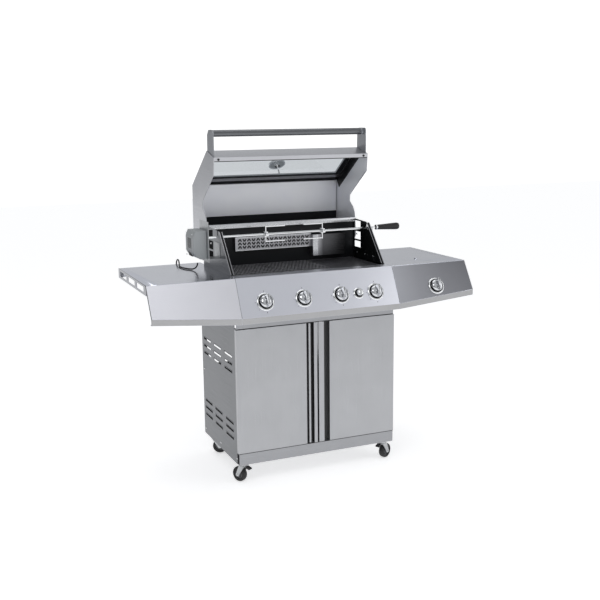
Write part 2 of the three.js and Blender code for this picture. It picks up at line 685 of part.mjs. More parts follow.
// ---- lid, drawn closed about its hinge and then swung open by its group ----
const bandFoot = [-lidFrontReach, worktopHeight + 4];
const bandTop = [bandFoot[0] - 15, bandFoot[1] + lidBandHeight];
const peak = [-64, lidPeakHeight];
const roofEnd = [peak[0] + lidRoofDepth, lidPeakHeight - 26];
const lidRear = [roofEnd[0], hingeZ + 20];
const lidHalfWidth = fireboxHalfWidth + panelGap + sheet;
const aboutHinge = ([y, z]) => [y - hingeY, z - hingeZ];

// A frame on the sloping glass panel: y up the slope from the lower fold, z out of the lid.
const glassSlope = Math.atan2(peak[1] - bandTop[1], peak[0] - bandTop[0]);
const glassFrame = at(0, ...aboutHinge(bandTop)).multiply(new THREE.Matrix4().makeRotationX(glassSlope));

function lidShell() {
  const skin = foldedOutline([
    [bandFoot[0] + 18, bandFoot[1]], bandFoot, bandTop, peak, roofEnd, lidRear,
  ].map(aboutHinge), -sheet);
  let shell = prismX(skin, -lidHalfWidth, lidHalfWidth);
  const ear = [];
  for (let a = 0; a <= 4; a += 1) {
    const turn = rad(-95 + a * 22);
    ear.push([hingeY + 27 * Math.cos(turn), hingeZ + 27 * Math.sin(turn)]);
  }
  const cheekEdge = [-155, bandFoot[1]];
  const side = [
    bandFoot, cheekEdge, [-19, spitHeight + 14.5], [11, spitHeight + 13.5], [30, spitHeight - 23],
    [50, hingeZ - 3], [80, hingeZ - 13], [120, hingeZ - 20],
    ...ear, lidRear, roofEnd, peak, bandTop,
  ].map(aboutHinge);
  for (const s of [-1, 1]) {
    const inner = s > 0 ? lidHalfWidth - sheet : -lidHalfWidth;
    shell = shell.add(prismX(side, inner, inner + sheet));
  }
  shell = shell.subtract(rodX(hingePinRadius + gap, -lidHalfWidth - 5, lidHalfWidth + 5, 0, 0, 24));
  return shell.subtract(block(-windowHalfWidth, windowHalfWidth, windowStart, windowStart + windowLength,
    -10, 10, glassFrame));
}

const thermometerPlace = windowStart + 76;
const thermometerHole = 9;

function lidWindow() {
  const margin = 12;
  const pane = block(-windowHalfWidth - margin, windowHalfWidth + margin, windowStart - margin,
    windowStart + windowLength + margin, -sheet - gap - 4, -sheet - gap, glassFrame);
  const hole = rodZ(thermometerHole, -20, 20, 0, thermometerPlace, 20);
  return pane.subtract(hole.transform(glassFrame.toArray()));
}

function thermometer() {
  const paneTop = -sheet - gap;
  const dial = turned([[0, paneTop + gap], [38, paneTop + gap], [38, paneTop + 6], [34, paneTop + 9],
    [0, paneTop + 9]], 32);
  const stem = rodZ(thermometerHole - 1, paneTop - 8, paneTop + 1, 0, 0, 16);
  const probe = rodZ(3, paneTop - 48, paneTop - 6, 0, 0, 12);
  return join(dial, stem, probe);
}

function lidHandle() {
  const low = bandFoot[1];
  const bracket = [
    [-234.1, low + 11], [-332, low + 22], [-342, low + 30], [-336, low + 86], [-313, low + 102], [-247.3, low + 97],
  ].map(aboutHinge);
  const [barY, barZ] = aboutHinge([-323.4, low + 62.4]);
  const outer = fireboxHalfWidth + panelGap - 1;
  return join(prismX(bracket, -outer, -outer + 4), prismX(bracket, outer - 4, outer),
    rodX(handleBarRadius, -outer + 1, outer - 1, barY, barZ, 20));
}

place('lid_shell', lidShell(), 'brushed', lid);
place('lid_window', lidWindow(), 'glass', lid);
const dial = place('thermometer', thermometer(), 'chrome', lid);
dial.applyMatrix4(glassFrame.clone().multiply(at(0, thermometerPlace, 0)));
place('lid_handle', lidHandle(), 'brushed', lid);

// ---- rotisserie ----
const motorPlateX = -fireboxHalfWidth - 59;
const motorInnerX = motorPlateX - gap;
const motorWidth = 58;
const motorBottom = spitHeight - 85;
const motorTop = spitHeight + 33;
const socketRadius = 7;

function motorBracket() {
  const foot = -fireboxHalfWidth - gap;
  const z = motorBottom - 4;
  const path = [[foot, z + 66], [foot, z], [motorPlateX, z], [motorPlateX, motorTop + 36]];
  const strap = prismY(foldedOutline(path, -sheet), -30, 40);
  const plate = block(motorPlateX, motorPlateX + sheet, -60, 60, z - 9, motorTop + 38);
  return join(strap, plate).subtract(rodX(socketRadius + 2, motorPlateX - 10, motorPlateX + 10, 0, spitHeight, 20));
}

function motorHousing() {
  const outerX = motorInnerX - motorWidth;
  const profile = [
    [motorInnerX, motorBottom], [motorInnerX, motorTop], [outerX + 10, motorTop], [outerX, motorTop - 26],
    [outerX, motorBottom + 30], [outerX + 14, motorBottom + 8], [outerX + 30, motorBottom],
  ];
  const socket = rodX(socketRadius, motorInnerX - 30, motorInnerX + 5, 0, spitHeight, 16);
  const switchSeat = block(outerX - 5, outerX + 22, 26, 52, motorBottom - 2, motorBottom + 30);
  return prismY(profile, -35, 75).subtract(socket).subtract(switchSeat);
}

function motorSwitch() {
  const outerX = motorInnerX - motorWidth;
  return prismY([[outerX + 17, motorBottom + 4], [outerX + 21, motorBottom + 15.5], [outerX + 17, motorBottom + 27],
    [outerX + 8, motorBottom + 22], [outerX + 4, motorBottom + 14], [outerX + 8, motorBottom + 8]], 26.5, 51.5);
}

function spitRod() {
  const start = motorInnerX - 26;
  const square = [[-spitHalfSide, -spitHalfSide], [spitHalfSide, -spitHalfSide], [spitHalfSide, spitHalfSide],
    [-spitHalfSide, spitHalfSide]].map(([y, z]) => [y, z + spitHeight]);
  const rod = prismX(square, start, fireboxHalfWidth + 40);
  const journal = (x) => rodX(spitNotch - 0.4, x - 8, x + 8, 0, spitHeight, 16);
  const end = fireboxHalfWidth + 26;
  const tip = 84;
  const balance = join(block(end - 2, end + 2, -2, 2, spitHeight - tip, spitHeight),
    block(end - 2, end + 12, -2, 2, spitHeight - tip, spitHeight - tip + 4));
  return join(rod, journal(-fireboxHalfWidth + 1), journal(fireboxHalfWidth - 1), balance);
}

// A clamp that slides on the rod, with a cross-bar and two prongs towards the middle.
function spitFork(x, towards) {
  const hub = block(x - 8, x + 8, -10, 10, spitHeight - 10, spitHeight + 10);
  const bore = block(x - 20, x + 20, -spitHalfSide - gap, spitHalfSide + gap, spitHeight - spitHalfSide - gap,
    spitHeight + spitHalfSide + gap);
  const bar = block(x - 2, x + 2, -3, 3, spitHeight - spitForkReach, spitHeight + spitForkReach);
  const prong = (z) => prismX([[-2, z - 2], [2, z - 2], [2, z + 2], [-2, z + 2]],
    Math.min(x, x + towards * 90), Math.max(x, x + towards * 90));
  return join(hub, bar, prong(spitHeight + spitForkReach - 3), prong(spitHeight - spitForkReach + 3)).subtract(bore);
}

function spitGrip() {
  const start = fireboxHalfWidth + 40 + gap;
  const profile = [[0, 0], [11, 0], [12, 4], [15.5, gripLength - 6], [13, gripLength], [0, gripLength]];
  const points = profile.map(([radius, along]) => new THREE.Vector2(radius, along));
  const geometry = new THREE.LatheGeometry(points, 20);
  geometry.rotateZ(-Math.PI / 2).translate(start, 0, spitHeight);
  return solid(geometry);
}

place('motor_bracket', motorBracket(), 'galvanised');
place('motor_housing', motorHousing(), 'greyPaint');
place('motor_switch', motorSwitch(), 'blackPlastic');
place('spit_rod', spitRod(), 'chrome');
place('spit_fork_left', spitFork(-137, 1), 'chrome');
place('spit_fork_right', spitFork(130, -1), 'chrome');
place('spit_grip', spitGrip(), 'blackPlastic');

// ---- mains lead: over the left shelf's rear edge, down behind, into a coil on the floor ----
const cordExit = [motorInnerX - 19.7, 40, motorBottom];
const reliefLength = 24;

function strainRelief() {
  return rodZ(4, motorBottom - gap - reliefLength, motorBottom - gap, cordExit[0], cordExit[1], 12, 6);
}

const onTop = worktopHeight + cordRadius + 2 * gap;
const [exitX, exitY] = cordExit;
const [highX, clipY, highZ] = leadClips.high;
const [lowX, , lowZ] = leadClips.low;
const cordRoute = [
  [exitX, exitY, motorBottom - 2 * gap - reliefLength], [exitX - 0.2, exitY + 0.3, onTop + 24],
  [exitX - 2.4, exitY + 3.4, onTop + 15], [exitX - 7.6, exitY + 10.8, onTop + 6.6],
  [exitX - 15, exitY + 21.5, onTop + 1.4], [exitX - 24, exitY + 35.6, onTop], [exitX - 33.5, exitY + 54, onTop],
  [exitX - 41.5, exitY + 82, onTop], [exitX - 44, exitY + 115, onTop], [exitX - 38, exitY + 150, onTop + 0.2],
  [exitX - 31, exitY + 176, onTop + 4.6], [exitX - 26.6, worktopRear - 19, onTop + 12.4],
  [exitX - 25.2, worktopRear - 4.5, onTop + 15.8], [exitX - 24.8, worktopRear + 8, onTop + 15],
  [exitX - 24.8, worktopRear + 19, onTop + 9.4], [exitX - 25, worktopRear + 26.4, onTop - 1],
  [exitX - 25.2, worktopRear + 28.4, onTop - 17.6], [exitX - 21, worktopRear + 26, onTop - 45.6],
  [exitX - 8, worktopRear + 20, onTop - 81], [exitX + 13, worktopRear + 12, onTop - 116],
  [exitX + 43, worktopRear + 1, onTop - 149], [exitX + 69, clipY + 7, onTop - 179],
  [highX - 1, clipY + 3, highZ + 27], [highX, clipY, highZ + 8], [highX, clipY, highZ - 8],
  [highX + 2, clipY + 2, highZ - 55], [highX + 9, clipY + 2, highZ - 155], [highX + 26, clipY + 2, highZ - 255],
  [highX + 48, clipY + 2, highZ - 355], [lowX - 13, clipY + 2, lowZ + 78], [lowX - 3, clipY + 2, lowZ + 28],
  [lowX, clipY, lowZ + 8], [lowX, clipY, lowZ - 8], [lowX + 2, clipY + 6, lowZ - 52],
  [lowX + 6, clipY + 15, 35], [lowX + 14, clipY + 30, 12], [lowX + 24, clipY + 48, 4],
  [lowX + 36, clipY + 64, 3.6], [lowX + 52, clipY + 76, 3.6], [lowX + 83.5, clipY + 84.6, 3.6],
];
const coil = { x: lowX + 118, y: clipY + 54, middle: 33, bundle: 10.5 };

function mainsLead() {
  const curve = new THREE.CatmullRomCurve3(cordRoute.map((p) => new THREE.Vector3(...p)), false, 'centripetal');
  const section = new THREE.Shape();
  section.absarc(0, 0, cordRadius, 0, 2 * Math.PI, false);
  const ring = new THREE.Shape(section.getPoints(4).slice(0, -1));
  return solid(new THREE.ExtrudeGeometry(ring, { steps: 78, extrudePath: curve, curveSegments: 1 }));
}

function cordCoil() {
  const { middle, bundle } = coil;
  const points = [];
  for (let i = 0; i <= 12; i += 1) {
    const turn = (i / 12) * 2 * Math.PI;
    points.push([middle + bundle * Math.cos(turn), bundle + bundle * Math.sin(turn)]);
  }
  const geometry = new THREE.LatheGeometry(points.map(([r, z]) => new THREE.Vector2(r, z)), 28);
  return solid(geometry, at(coil.x, coil.y, 0.4).multiply(lathedToZ));
}

function mainsPlug() {
  const body = block(-22, 22, -14, 14, 0, 26);
  const pins = join(block(20, 40, -8, -4, 10, 14), block(20, 40, 4, 8, 10, 14));
  return join(body, pins);
}

cordPieces.push(place('strain_relief', strainRelief(), 'blackPlastic'));
cordPieces.push(place('mains_lead', mainsLead(), 'blackPlastic'));
cordPieces.push(place('cord_coil', cordCoil(), 'blackPlastic'));
const plug = place('mains_plug', mainsPlug(), 'blackPlastic');
plug.position.set(coil.x + 72, coil.y, 0.4);
cordPieces.push(plug);

// The origin is under the middle of the grill's own box, leaving the lead out.
grill.updateMatrixWorld(true);
const box = new THREE.Box3();
grill.traverse((piece) => {
  if (piece.isMesh && !cordPieces.includes(piece)) {
    box.expandByObject(piece, true);
  }
});
grill.position.set(-(box.min.x + box.max.x) / 2, -(box.min.y + box.max.y) / 2, -box.min.z);

export default grill;
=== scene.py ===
import json
import math

import bmesh
import bpy
import numpy as np
from mathutils import Matrix, Vector

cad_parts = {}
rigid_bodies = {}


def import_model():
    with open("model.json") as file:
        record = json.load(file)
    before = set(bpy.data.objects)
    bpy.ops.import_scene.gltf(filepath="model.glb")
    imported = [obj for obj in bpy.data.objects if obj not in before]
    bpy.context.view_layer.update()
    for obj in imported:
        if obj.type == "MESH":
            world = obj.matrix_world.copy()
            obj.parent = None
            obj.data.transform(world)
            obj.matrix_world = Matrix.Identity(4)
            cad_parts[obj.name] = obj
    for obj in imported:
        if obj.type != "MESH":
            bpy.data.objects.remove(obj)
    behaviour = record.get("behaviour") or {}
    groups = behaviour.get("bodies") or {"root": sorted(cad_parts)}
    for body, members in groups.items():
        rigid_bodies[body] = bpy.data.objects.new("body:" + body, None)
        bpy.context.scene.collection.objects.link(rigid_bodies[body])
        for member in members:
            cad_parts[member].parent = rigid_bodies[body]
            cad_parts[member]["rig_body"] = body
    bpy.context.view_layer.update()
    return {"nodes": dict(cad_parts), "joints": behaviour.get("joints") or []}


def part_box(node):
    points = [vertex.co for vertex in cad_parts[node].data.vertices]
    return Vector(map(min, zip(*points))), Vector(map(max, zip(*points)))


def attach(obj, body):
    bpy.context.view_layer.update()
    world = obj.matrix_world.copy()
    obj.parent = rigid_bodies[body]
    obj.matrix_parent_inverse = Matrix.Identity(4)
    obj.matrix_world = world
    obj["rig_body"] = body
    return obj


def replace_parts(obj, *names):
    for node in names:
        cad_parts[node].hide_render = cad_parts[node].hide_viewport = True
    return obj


# Gas barbecue on a wheeled cabinet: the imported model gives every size, and this script gives its looks.
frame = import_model()
joints = {j["name"]: j for j in frame["joints"]}
scene = bpy.context.scene
print("loaded", len(frame["nodes"]), "nodes")

# the frame's origin is under the middle of the grill; millimetre values here are from the cabinet's middle,
# which the firebox tub's front edge gives
tubFront = -163
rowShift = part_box("firebox_tub")[0].y * 1000 - tubFront
sides = ((-1, "left"), (1, "right"))


def row(x, y, z):
    # a place given in millimetres from the cabinet's middle, in metres in the frame
    return Vector((x / 1000, (y + rowShift) / 1000, z / 1000))


cabinetFrame = Matrix.Translation(row(0, 0, 0))


# Camera, floor and light.
view = {"place": (-1540.4, -3658.9, 1499.7), "yaw": 23.1, "pitch": -11.09, "roll": -0.65, "lens": 54.91,
        "farthest": 60}


def addCamera():
    yaw, pitch, roll = (math.radians(view[k]) for k in ("yaw", "pitch", "roll"))
    ahead = Vector((math.sin(yaw) * math.cos(pitch), math.cos(yaw) * math.cos(pitch), math.sin(pitch)))
    right = Vector((math.cos(yaw), -math.sin(yaw), 0))
    up = right.cross(ahead)
    right, up = right * math.cos(roll) + up * math.sin(roll), up * math.cos(roll) - right * math.sin(roll)
    camera = bpy.data.objects.new("camera", bpy.data.cameras.new("camera"))
    scene.collection.objects.link(camera)
    turned = Matrix((right, up, -ahead)).transposed().to_4x4()
    camera.matrix_world = Matrix.Translation(row(*view["place"])) @ turned
    camera.data.lens = view["lens"]
    camera.data.clip_end = view["farthest"]
    scene.camera = camera


addCamera()


def newMaterial(name):
    material = bpy.data.materials.new(name)
    material.use_nodes = True
    tree = material.node_tree
    return material, tree, tree.nodes["Principled BSDF"]


floorLook = {"colour": (0.93, 0.93, 0.935, 1), "roughness": 0.9, "gloss": 0.1, "glow": 0.56, "half": 14,
             "height": -0.0006}


def addFloor():
    material, tree, shader = newMaterial("floorPaint")
    shader.inputs["Base Color"].default_value = floorLook["colour"]
    shader.inputs["Roughness"].default_value = floorLook["roughness"]
    shader.inputs["Specular IOR Level"].default_value = floorLook["gloss"]
    shader.inputs["Emission Color"].default_value = (1, 1, 1, 1)
    shader.inputs["Emission Strength"].default_value = floorLook["glow"]
    half, height = floorLook["half"], floorLook["height"]
    corners = [(x * half, y * half, height) for x, y in ((-1, -1), (1, -1), (1, 1), (-1, 1))]
    mesh = bpy.data.meshes.new("floor")
    mesh.from_pydata(corners, [], [(0, 1, 2, 3)])
    mesh.materials.append(material)
    floor = bpy.data.objects.new("floor", mesh)
    scene.collection.objects.link(floor)


# what the steel reflects: each slope is where it starts and ends along its axis, then the brightness at each
studio = {"level": 0.62, "left": (-0.75, 0.1, 0.42, 1.0), "right": (0.25, 0.95, 1.0, 0.62),
          "top": (-0.1, 0.9, 0.92, 1.0), "tint": (0.965, 0.98, 1, 1), "backdrop": 1.15}


def addWorld():
    world = bpy.data.worlds.new("studio")
    scene.world = world
    world.use_nodes = True
    tree = world.node_tree
    tree.nodes.clear()
    link = tree.links.new
    output = tree.nodes.new("ShaderNodeOutputWorld")
    background = tree.nodes.new("ShaderNodeBackground")
    white = tree.nodes.new("ShaderNodeBackground")
    white.inputs["Color"].default_value = (1, 1, 1, 1)
    white.inputs["Strength"].default_value = studio["backdrop"]
    mixer = tree.nodes.new("ShaderNodeMixShader")
    rays = tree.nodes.new("ShaderNodeLightPath")
    place = tree.nodes.new("ShaderNodeTexCoord")
    split = tree.nodes.new("ShaderNodeSeparateXYZ")
    link(place.outputs["Generated"], split.inputs[0])

    def ramp(source, stops):
        node = tree.nodes.new("ShaderNodeMapRange")
        node.interpolation_type = "SMOOTHSTEP"
        link(source, node.inputs["Value"])
        for key, value in zip(("From Min", "From Max", "To Min", "To Max"), stops):
            node.inputs[key].default_value = value
        return node.outputs["Result"]

    def times(source, factor):
        node = tree.nodes.new("ShaderNodeMath")
        node.operation = "MULTIPLY"
        link(source, node.inputs[0])
        if isinstance(factor, float):
            node.inputs[1].default_value = factor
        else:
            link(factor, node.inputs[1])
        return node.outputs[0]

    left = ramp(split.outputs["X"], studio["left"])
    right = ramp(split.outputs["X"], studio["right"])
    top = ramp(split.outputs["Z"], studio["top"])
    link(times(times(times(left, right), top), studio["level"]), background.inputs["Strength"])
    background.inputs["Color"].default_value = studio["tint"]
    link(rays.outputs["Is Camera Ray"], mixer.inputs[0])
    link(background.outputs[0], mixer.inputs[1])
    link(white.outputs[0], mixer.inputs[2])
    link(mixer.outputs[0], output.inputs["Surface"])


lamps = {
    "keyLamp": {"place": (-1700, -2300, 3000), "target": (0, 0, 700), "size": (1.6, 1.2), "power": 16},
    "fillLamp": {"place": (2300, -2100, 1900), "target": (0, 0, 700), "size": (1.2, 1.6), "power": 7},
    "topLamp": {"place": (0, 300, 3400), "target": (0, 100, 800), "size": (2.2, 1.6), "power": 12},
}


def addLamps():
    for name, lamp in lamps.items():
        light = bpy.data.lights.new(name, "AREA")
        light.shape = "RECTANGLE"
        light.size, light.size_y = lamp["size"]
        light.energy = lamp["power"]
        holder = bpy.data.objects.new(name, light)
        scene.collection.objects.link(holder)
        place, target = row(*lamp["place"]), row(*lamp["target"])
        turned = (target - place).to_track_quat("-Z", "Y").to_matrix().to_4x4()
        holder.matrix_world = Matrix.Translation(place) @ turned


addFloor()
addWorld()
addLamps()
scene.view_settings.view_transform = "Standard"
print("camera, floor and lamps ready")


# Finishes.
def pattern(tree, scale, detail=3.0):
    # noise on Object coordinates, stretched by a scale for each axis
    place = tree.nodes.new("ShaderNodeTexCoord")
    stretch = tree.nodes.new("ShaderNodeMapping")
    stretch.inputs["Scale"].default_value = scale
    noise = tree.nodes.new("ShaderNodeTexNoise")
    noise.inputs["Scale"].default_value = 1
    noise.inputs["Detail"].default_value = detail
    tree.links.new(place.outputs["Object"], stretch.inputs["Vector"])
    tree.links.new(stretch.outputs["Vector"], noise.inputs["Vector"])
    return noise.outputs["Fac"]


def spread(tree, source, low, high, fromLow=0.3, fromHigh=0.7):
    # a number carried from one range to another, in a straight line
    node = tree.nodes.new("ShaderNodeMapRange")
    tree.links.new(source, node.inputs["Value"])
    for key, value in zip(("From Min", "From Max", "To Min", "To Max"), (fromLow, fromHigh, low, high)):
        node.inputs[key].default_value = value
    return node.outputs["Result"]


def shades(tree, source, dark, light):
    # a colour between two, by a number from 0 to 1; sockets 6 and 7 are the colours and output 2 their mix
    node = tree.nodes.new("ShaderNodeMix")
    node.data_type = "RGBA"
    tree.links.new(source, node.inputs["Factor"])
    node.inputs[6].default_value = (*dark, 1)
    node.inputs[7].default_value = (*light, 1)
    return node.outputs[2]


reliefDepth = 0.0002


def finish(name, colour, roughness, metallic=0.0, grain=(300, 300, 300), cloud=9.0, tint=0.06, swing=0.25,
           relief=0.02, gloss=None):
    # a finish with grain in its roughness and relief, and slow cloudy changes in its colour
    material, tree, shader = newMaterial(name)
    fine = pattern(tree, grain, 4.0)
    slow = pattern(tree, (cloud, cloud, cloud), 2.0)
    dark = tuple(c * (1 - tint) for c in colour)
    light = tuple(min(1, c * (1 + tint)) for c in colour)
    tree.links.new(shades(tree, slow, dark, light), shader.inputs["Base Color"])
    dull = spread(tree, fine, roughness * (1 - swing), roughness * (1 + swing))
    tree.links.new(dull, shader.inputs["Roughness"])
    bump = tree.nodes.new("ShaderNodeBump")
    bump.inputs["Strength"].default_value = relief
    bump.inputs["Distance"].default_value = reliefDepth
    tree.links.new(fine, bump.inputs["Height"])
    tree.links.new(bump.outputs["Normal"], shader.inputs["Normal"])
    shader.inputs["Metallic"].default_value = metallic
    if gloss is not None:
        shader.inputs["Specular IOR Level"].default_value = gloss
    return material


# each finish: its slot, colour, roughness, metal and grain, then what differs from the usual. The grain is
# the noise's scale on each axis, so the small number is the way that the brushing runs
alongX, alongY, alongZ = (5, 1500, 1500), (1500, 5, 1500), (1500, 1500, 5)
finishes = {
    "doorSteel": ("brushed_sheet", (0.42, 0.425, 0.44), 0.36, 1, alongZ, {"relief": 0.04}),
    "frontSteel": ("brushed_sheet", (0.35, 0.355, 0.37), 0.34, 1, alongX, {"relief": 0.05}),
    # painted shade: the sides, back and louvre lips get a much darker copy of the brushed steel
    "sideSteel": ("brushed_sheet", (0.165, 0.17, 0.18), 0.36, 1, alongY, {"relief": 0.05}),
    "topSteel": ("polished_sheet", (0.71, 0.725, 0.79), 0.16, 1, alongX, {"relief": 0.03}),
    "zincSteel": ("galvanised", (0.50, 0.51, 0.52), 0.42, 1, 120, {"cloud": 60, "tint": 0.12}),
    "brightChrome": ("chrome", (0.82, 0.83, 0.84), 0.07, 1, 60, {"cloud": 20, "tint": 0.02}),
    "knobChrome": ("chrome", (0.66, 0.67, 0.69), 0.10, 1, 60, {"cloud": 20, "tint": 0.02}),
    "linerSteel": ("brushed_sheet", (0.92, 0.93, 1.0), 0.45, 0.40, alongX, {"relief": 0.04}),
    "burnerSteel": ("brushed_sheet", (0.42, 0.42, 0.44), 0.30, 1, alongX, {"relief": 0.03}),
    "brightSheet": ("polished_sheet", (0.74, 0.75, 0.77), 0.26, 1, alongX, {"relief": 0.03}),
    "panelSteel": ("brushed_sheet", (0.76, 0.77, 0.83), 0.32, 1, alongX, {"tint": 0.03, "swing": 0.12}),
    # painted light: a lit copy of the panel's steel, for the left shelf's fascia
    "faceSteel": ("brushed_sheet", (0.92, 0.92, 0.98), 0.38, 0.65, alongX, {"tint": 0.03, "swing": 0.12}),
    # painted shade: the front lips under the control panel and shelves get a darker copy of the steel
    "lipSteel": ("brushed_sheet", (0.44, 0.44, 0.445), 0.36, 1, alongX, {"relief": 0.04}),
    "lidSteel": ("brushed_sheet", (0.55, 0.555, 0.58), 0.34, 1, alongY, {"relief": 0.05}),
    # painted shade: a dark copy of the steel, for the right door channel's sloped wall and the shelves'
    # fascia end edges
    "trimSteel": ("brushed_sheet", (0.20, 0.205, 0.21), 0.34, 1, alongX, {"relief": 0.05}),
    "blackEnamel": ("black_enamel", (0.010, 0.011, 0.013), 0.36, 0, 500,
                    {"cloud": 14, "tint": 0.25, "relief": 0.12, "gloss": 0.2}),
    "castIron": ("cast_iron", (0.020, 0.020, 0.022), 0.45, 0.2, 700,
                 {"cloud": 40, "tint": 0.3, "relief": 0.5}),
    "griddleIron": ("cast_iron", (0.085, 0.085, 0.095), 0.34, 0.3, 700,
                    {"cloud": 40, "tint": 0.2, "relief": 0.3}),
    "grateIron": ("cast_iron", (0.17, 0.17, 0.18), 0.28, 0.6, 700, {"cloud": 40, "tint": 0.3, "relief": 0.3}),
    "blackPlastic": ("black_plastic", (0.012, 0.012, 0.013), 0.38, 0, 900,
                     {"cloud": 30, "tint": 0.2, "relief": 0.25}),
    "blackRubber": ("black_rubber", (0.016, 0.016, 0.017), 0.62, 0, 600,
                    {"cloud": 40, "tint": 0.3, "relief": 0.3}),
    "cordBlack": ("black_plastic", (0.004, 0.004, 0.005), 0.5, 0, 900, {"relief": 0.1, "gloss": 0.2}),
    "hubPlastic": ("black_plastic", (0.10, 0.10, 0.105), 0.45, 0, 900, {"relief": 0.2}),
    "greyPaint": ("grey_paint", (0.36, 0.38, 0.39), 0.42, 0.0, 700,
                  {"cloud": 12, "tint": 0.05, "relief": 0.25}),
    "printInk": ("black_plastic", (0.05, 0.05, 0.055), 0.5, 0, 900, {"relief": 0.05}),
    "dialWhite": ("grey_paint", (0.80, 0.80, 0.78), 0.4, 0, 900, {"relief": 0.03}),
    "needleRed": ("black_plastic", (0.55, 0.03, 0.02), 0.4, 0, 900, {"relief": 0.03}),
}
looks = {}  # each look is a material and the name of its slot
for name, (slotName, colour, roughness, metallic, grain, others) in finishes.items():
    scale = (grain,) * 3 if isinstance(grain, int) else grain
    looks[name] = (finish(name, colour, roughness, metallic, scale, **others), slotName)

# the pane's faint glow is painted light: a sheen of bluish light on the glass
glass = {"colour": (0.97, 0.99, 1, 1), "glowColour": (0.85, 0.93, 1, 1), "glow": 0.07, "bending": 1.45}
windowGlass, glassTree, glassShader = newMaterial("windowGlass")
glassShader.inputs["Base Color"].default_value = glass["colour"]
glassShader.inputs["Emission Color"].default_value = glass["glowColour"]
glassShader.inputs["Emission Strength"].default_value = glass["glow"]
glassShader.inputs["Transmission Weight"].default_value = 1
glassShader.inputs["IOR"].default_value = glass["bending"]
glassSmear = spread(glassTree, pattern(glassTree, (30, 30, 30)), 0.0, 0.03)
glassTree.links.new(glassSmear, glassShader.inputs["Roughness"])
looks["windowGlass"] = (windowGlass, "glass")
print("finishes ready:", len(looks))


# Shapes.
pole = 0.05  # the radius at which a turned piece's end is closed by a small flat face


def addMesh(name, vertices, faces, body, look, smooth=35):
    # puts a finished surface into the scene, riding on a body of the frame
    mesh = bpy.data.meshes.new(name)
    mesh.from_pydata([tuple(v) for v in np.asarray(vertices).reshape(-1, 3)], [], faces)
    mesh.validate()
    return addPiece(name, mesh, body, look, smooth)


def addPiece(name, mesh, body, look, smooth=35, bevel=0.0):
    # smooth is the angle in degrees past which an edge stays sharp, and bevel the width of its rounding
    mesh.materials.clear()
    mesh.materials.append(looks[look][0])
    mesh.shade_smooth()
    mesh.set_sharp_from_angle(angle=math.radians(smooth))
    piece = bpy.data.objects.new(name, mesh)
    scene.collection.objects.link(piece)
    if bevel:
        edge = piece.modifiers.new("softEdges", "BEVEL")
        edge.width = bevel
        edge.segments = 2
        edge.limit_method = "ANGLE"
        edge.angle_limit = math.radians(35)
        edge.harden_normals = True
        edge.use_clamp_overlap = True
    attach(piece, body)
    return piece


def facesOut(piece):
    # turns every face of a closed piece outwards
    work = bmesh.new()
    work.from_mesh(piece.data)
    bmesh.ops.recalc_face_normals(work, faces=work.faces)
    work.to_mesh(piece.data)
    work.free()


def ringFaces(rings, around, caps=True):
    # quads between each ring of a stack and the next, with a flat face on each end
    i, j = np.meshgrid(np.arange(rings - 1), np.arange(around), indexing="ij")
    k = (j + 1) % around
    quads = np.stack([i * around + j, i * around + k, (i + 1) * around + k, (i + 1) * around + j], -1)
    faces = [tuple(q) for q in quads.reshape(-1, 4)]
    if caps:
        faces.append(tuple(range(around - 1, -1, -1)))
        faces.append(tuple(range((rings - 1) * around, rings * around)))
    return faces


def placeIn(matrix, points):
    # points given in millimetres in a small frame, in metres in the grill's frame
    m = np.array(matrix)
    return (np.asarray(points) / 1000) @ m[:3, :3].T + m[:3, 3]


def lathe(profile, matrix, around=40, loop=False):
    # each [radius, height] pair carried round the frame's Z: x = r cos a, y = r sin a, z = h;
    # a looped profile is a closed outline that stands clear of the axis
    profile = np.array(profile, float)
    a = np.linspace(0, 2 * np.pi, around, endpoint=False)
    grid = np.stack([profile[:, :1] * np.cos(a), profile[:, :1] * np.sin(a),
                     np.repeat(profile[:, 1:], around, 1)], -1)
    faces = ringFaces(len(profile), around, not loop)
    if loop:
        last = (len(profile) - 1) * around
        faces += [(last + j, last + (j + 1) % around, (j + 1) % around, j) for j in range(around)]
    return placeIn(matrix, grid.reshape(-1, 3)), faces


def roundedRect(width, height, corner, steps=5):
    # the corners' quarter circles, one after the other, counter-clockwise
    corner = min(corner, width / 2, height / 2)
    a = np.linspace(0, np.pi / 2, steps)
    centres = [(1, 1, 0), (-1, 1, 1), (-1, -1, 2), (1, -1, 3)]
    wide, tall = width / 2 - corner, height / 2 - corner
    parts = [np.stack([cx * wide + corner * np.cos(a + q * np.pi / 2),
                       cy * tall + corner * np.sin(a + q * np.pi / 2)], -1) for cx, cy, q in centres]
    return np.concatenate(parts)


def slab(matrix, width, height, depth, corner=1.0, edge=0.5, centre=(0, 0), base=0.0):
    # a rounded rectangle in the frame's XY, raised along Z, its top edge rounded by a quarter circle
    a = np.linspace(0, np.pi / 2, 4)
    insets = np.concatenate([[0], edge * (1 - np.cos(a))])
    heights = np.concatenate([[base], base + depth - edge + edge * np.sin(a)])
    outlines = [roundedRect(width - 2 * i, height - 2 * i, max(corner - i, 0.05)) + centre for i in insets]
    rings = [np.column_stack([outline, np.full(len(outline), h)]) for outline, h in zip(outlines, heights)]
    return placeIn(matrix, np.concatenate(rings)), ringFaces(len(rings), len(outlines[0]))


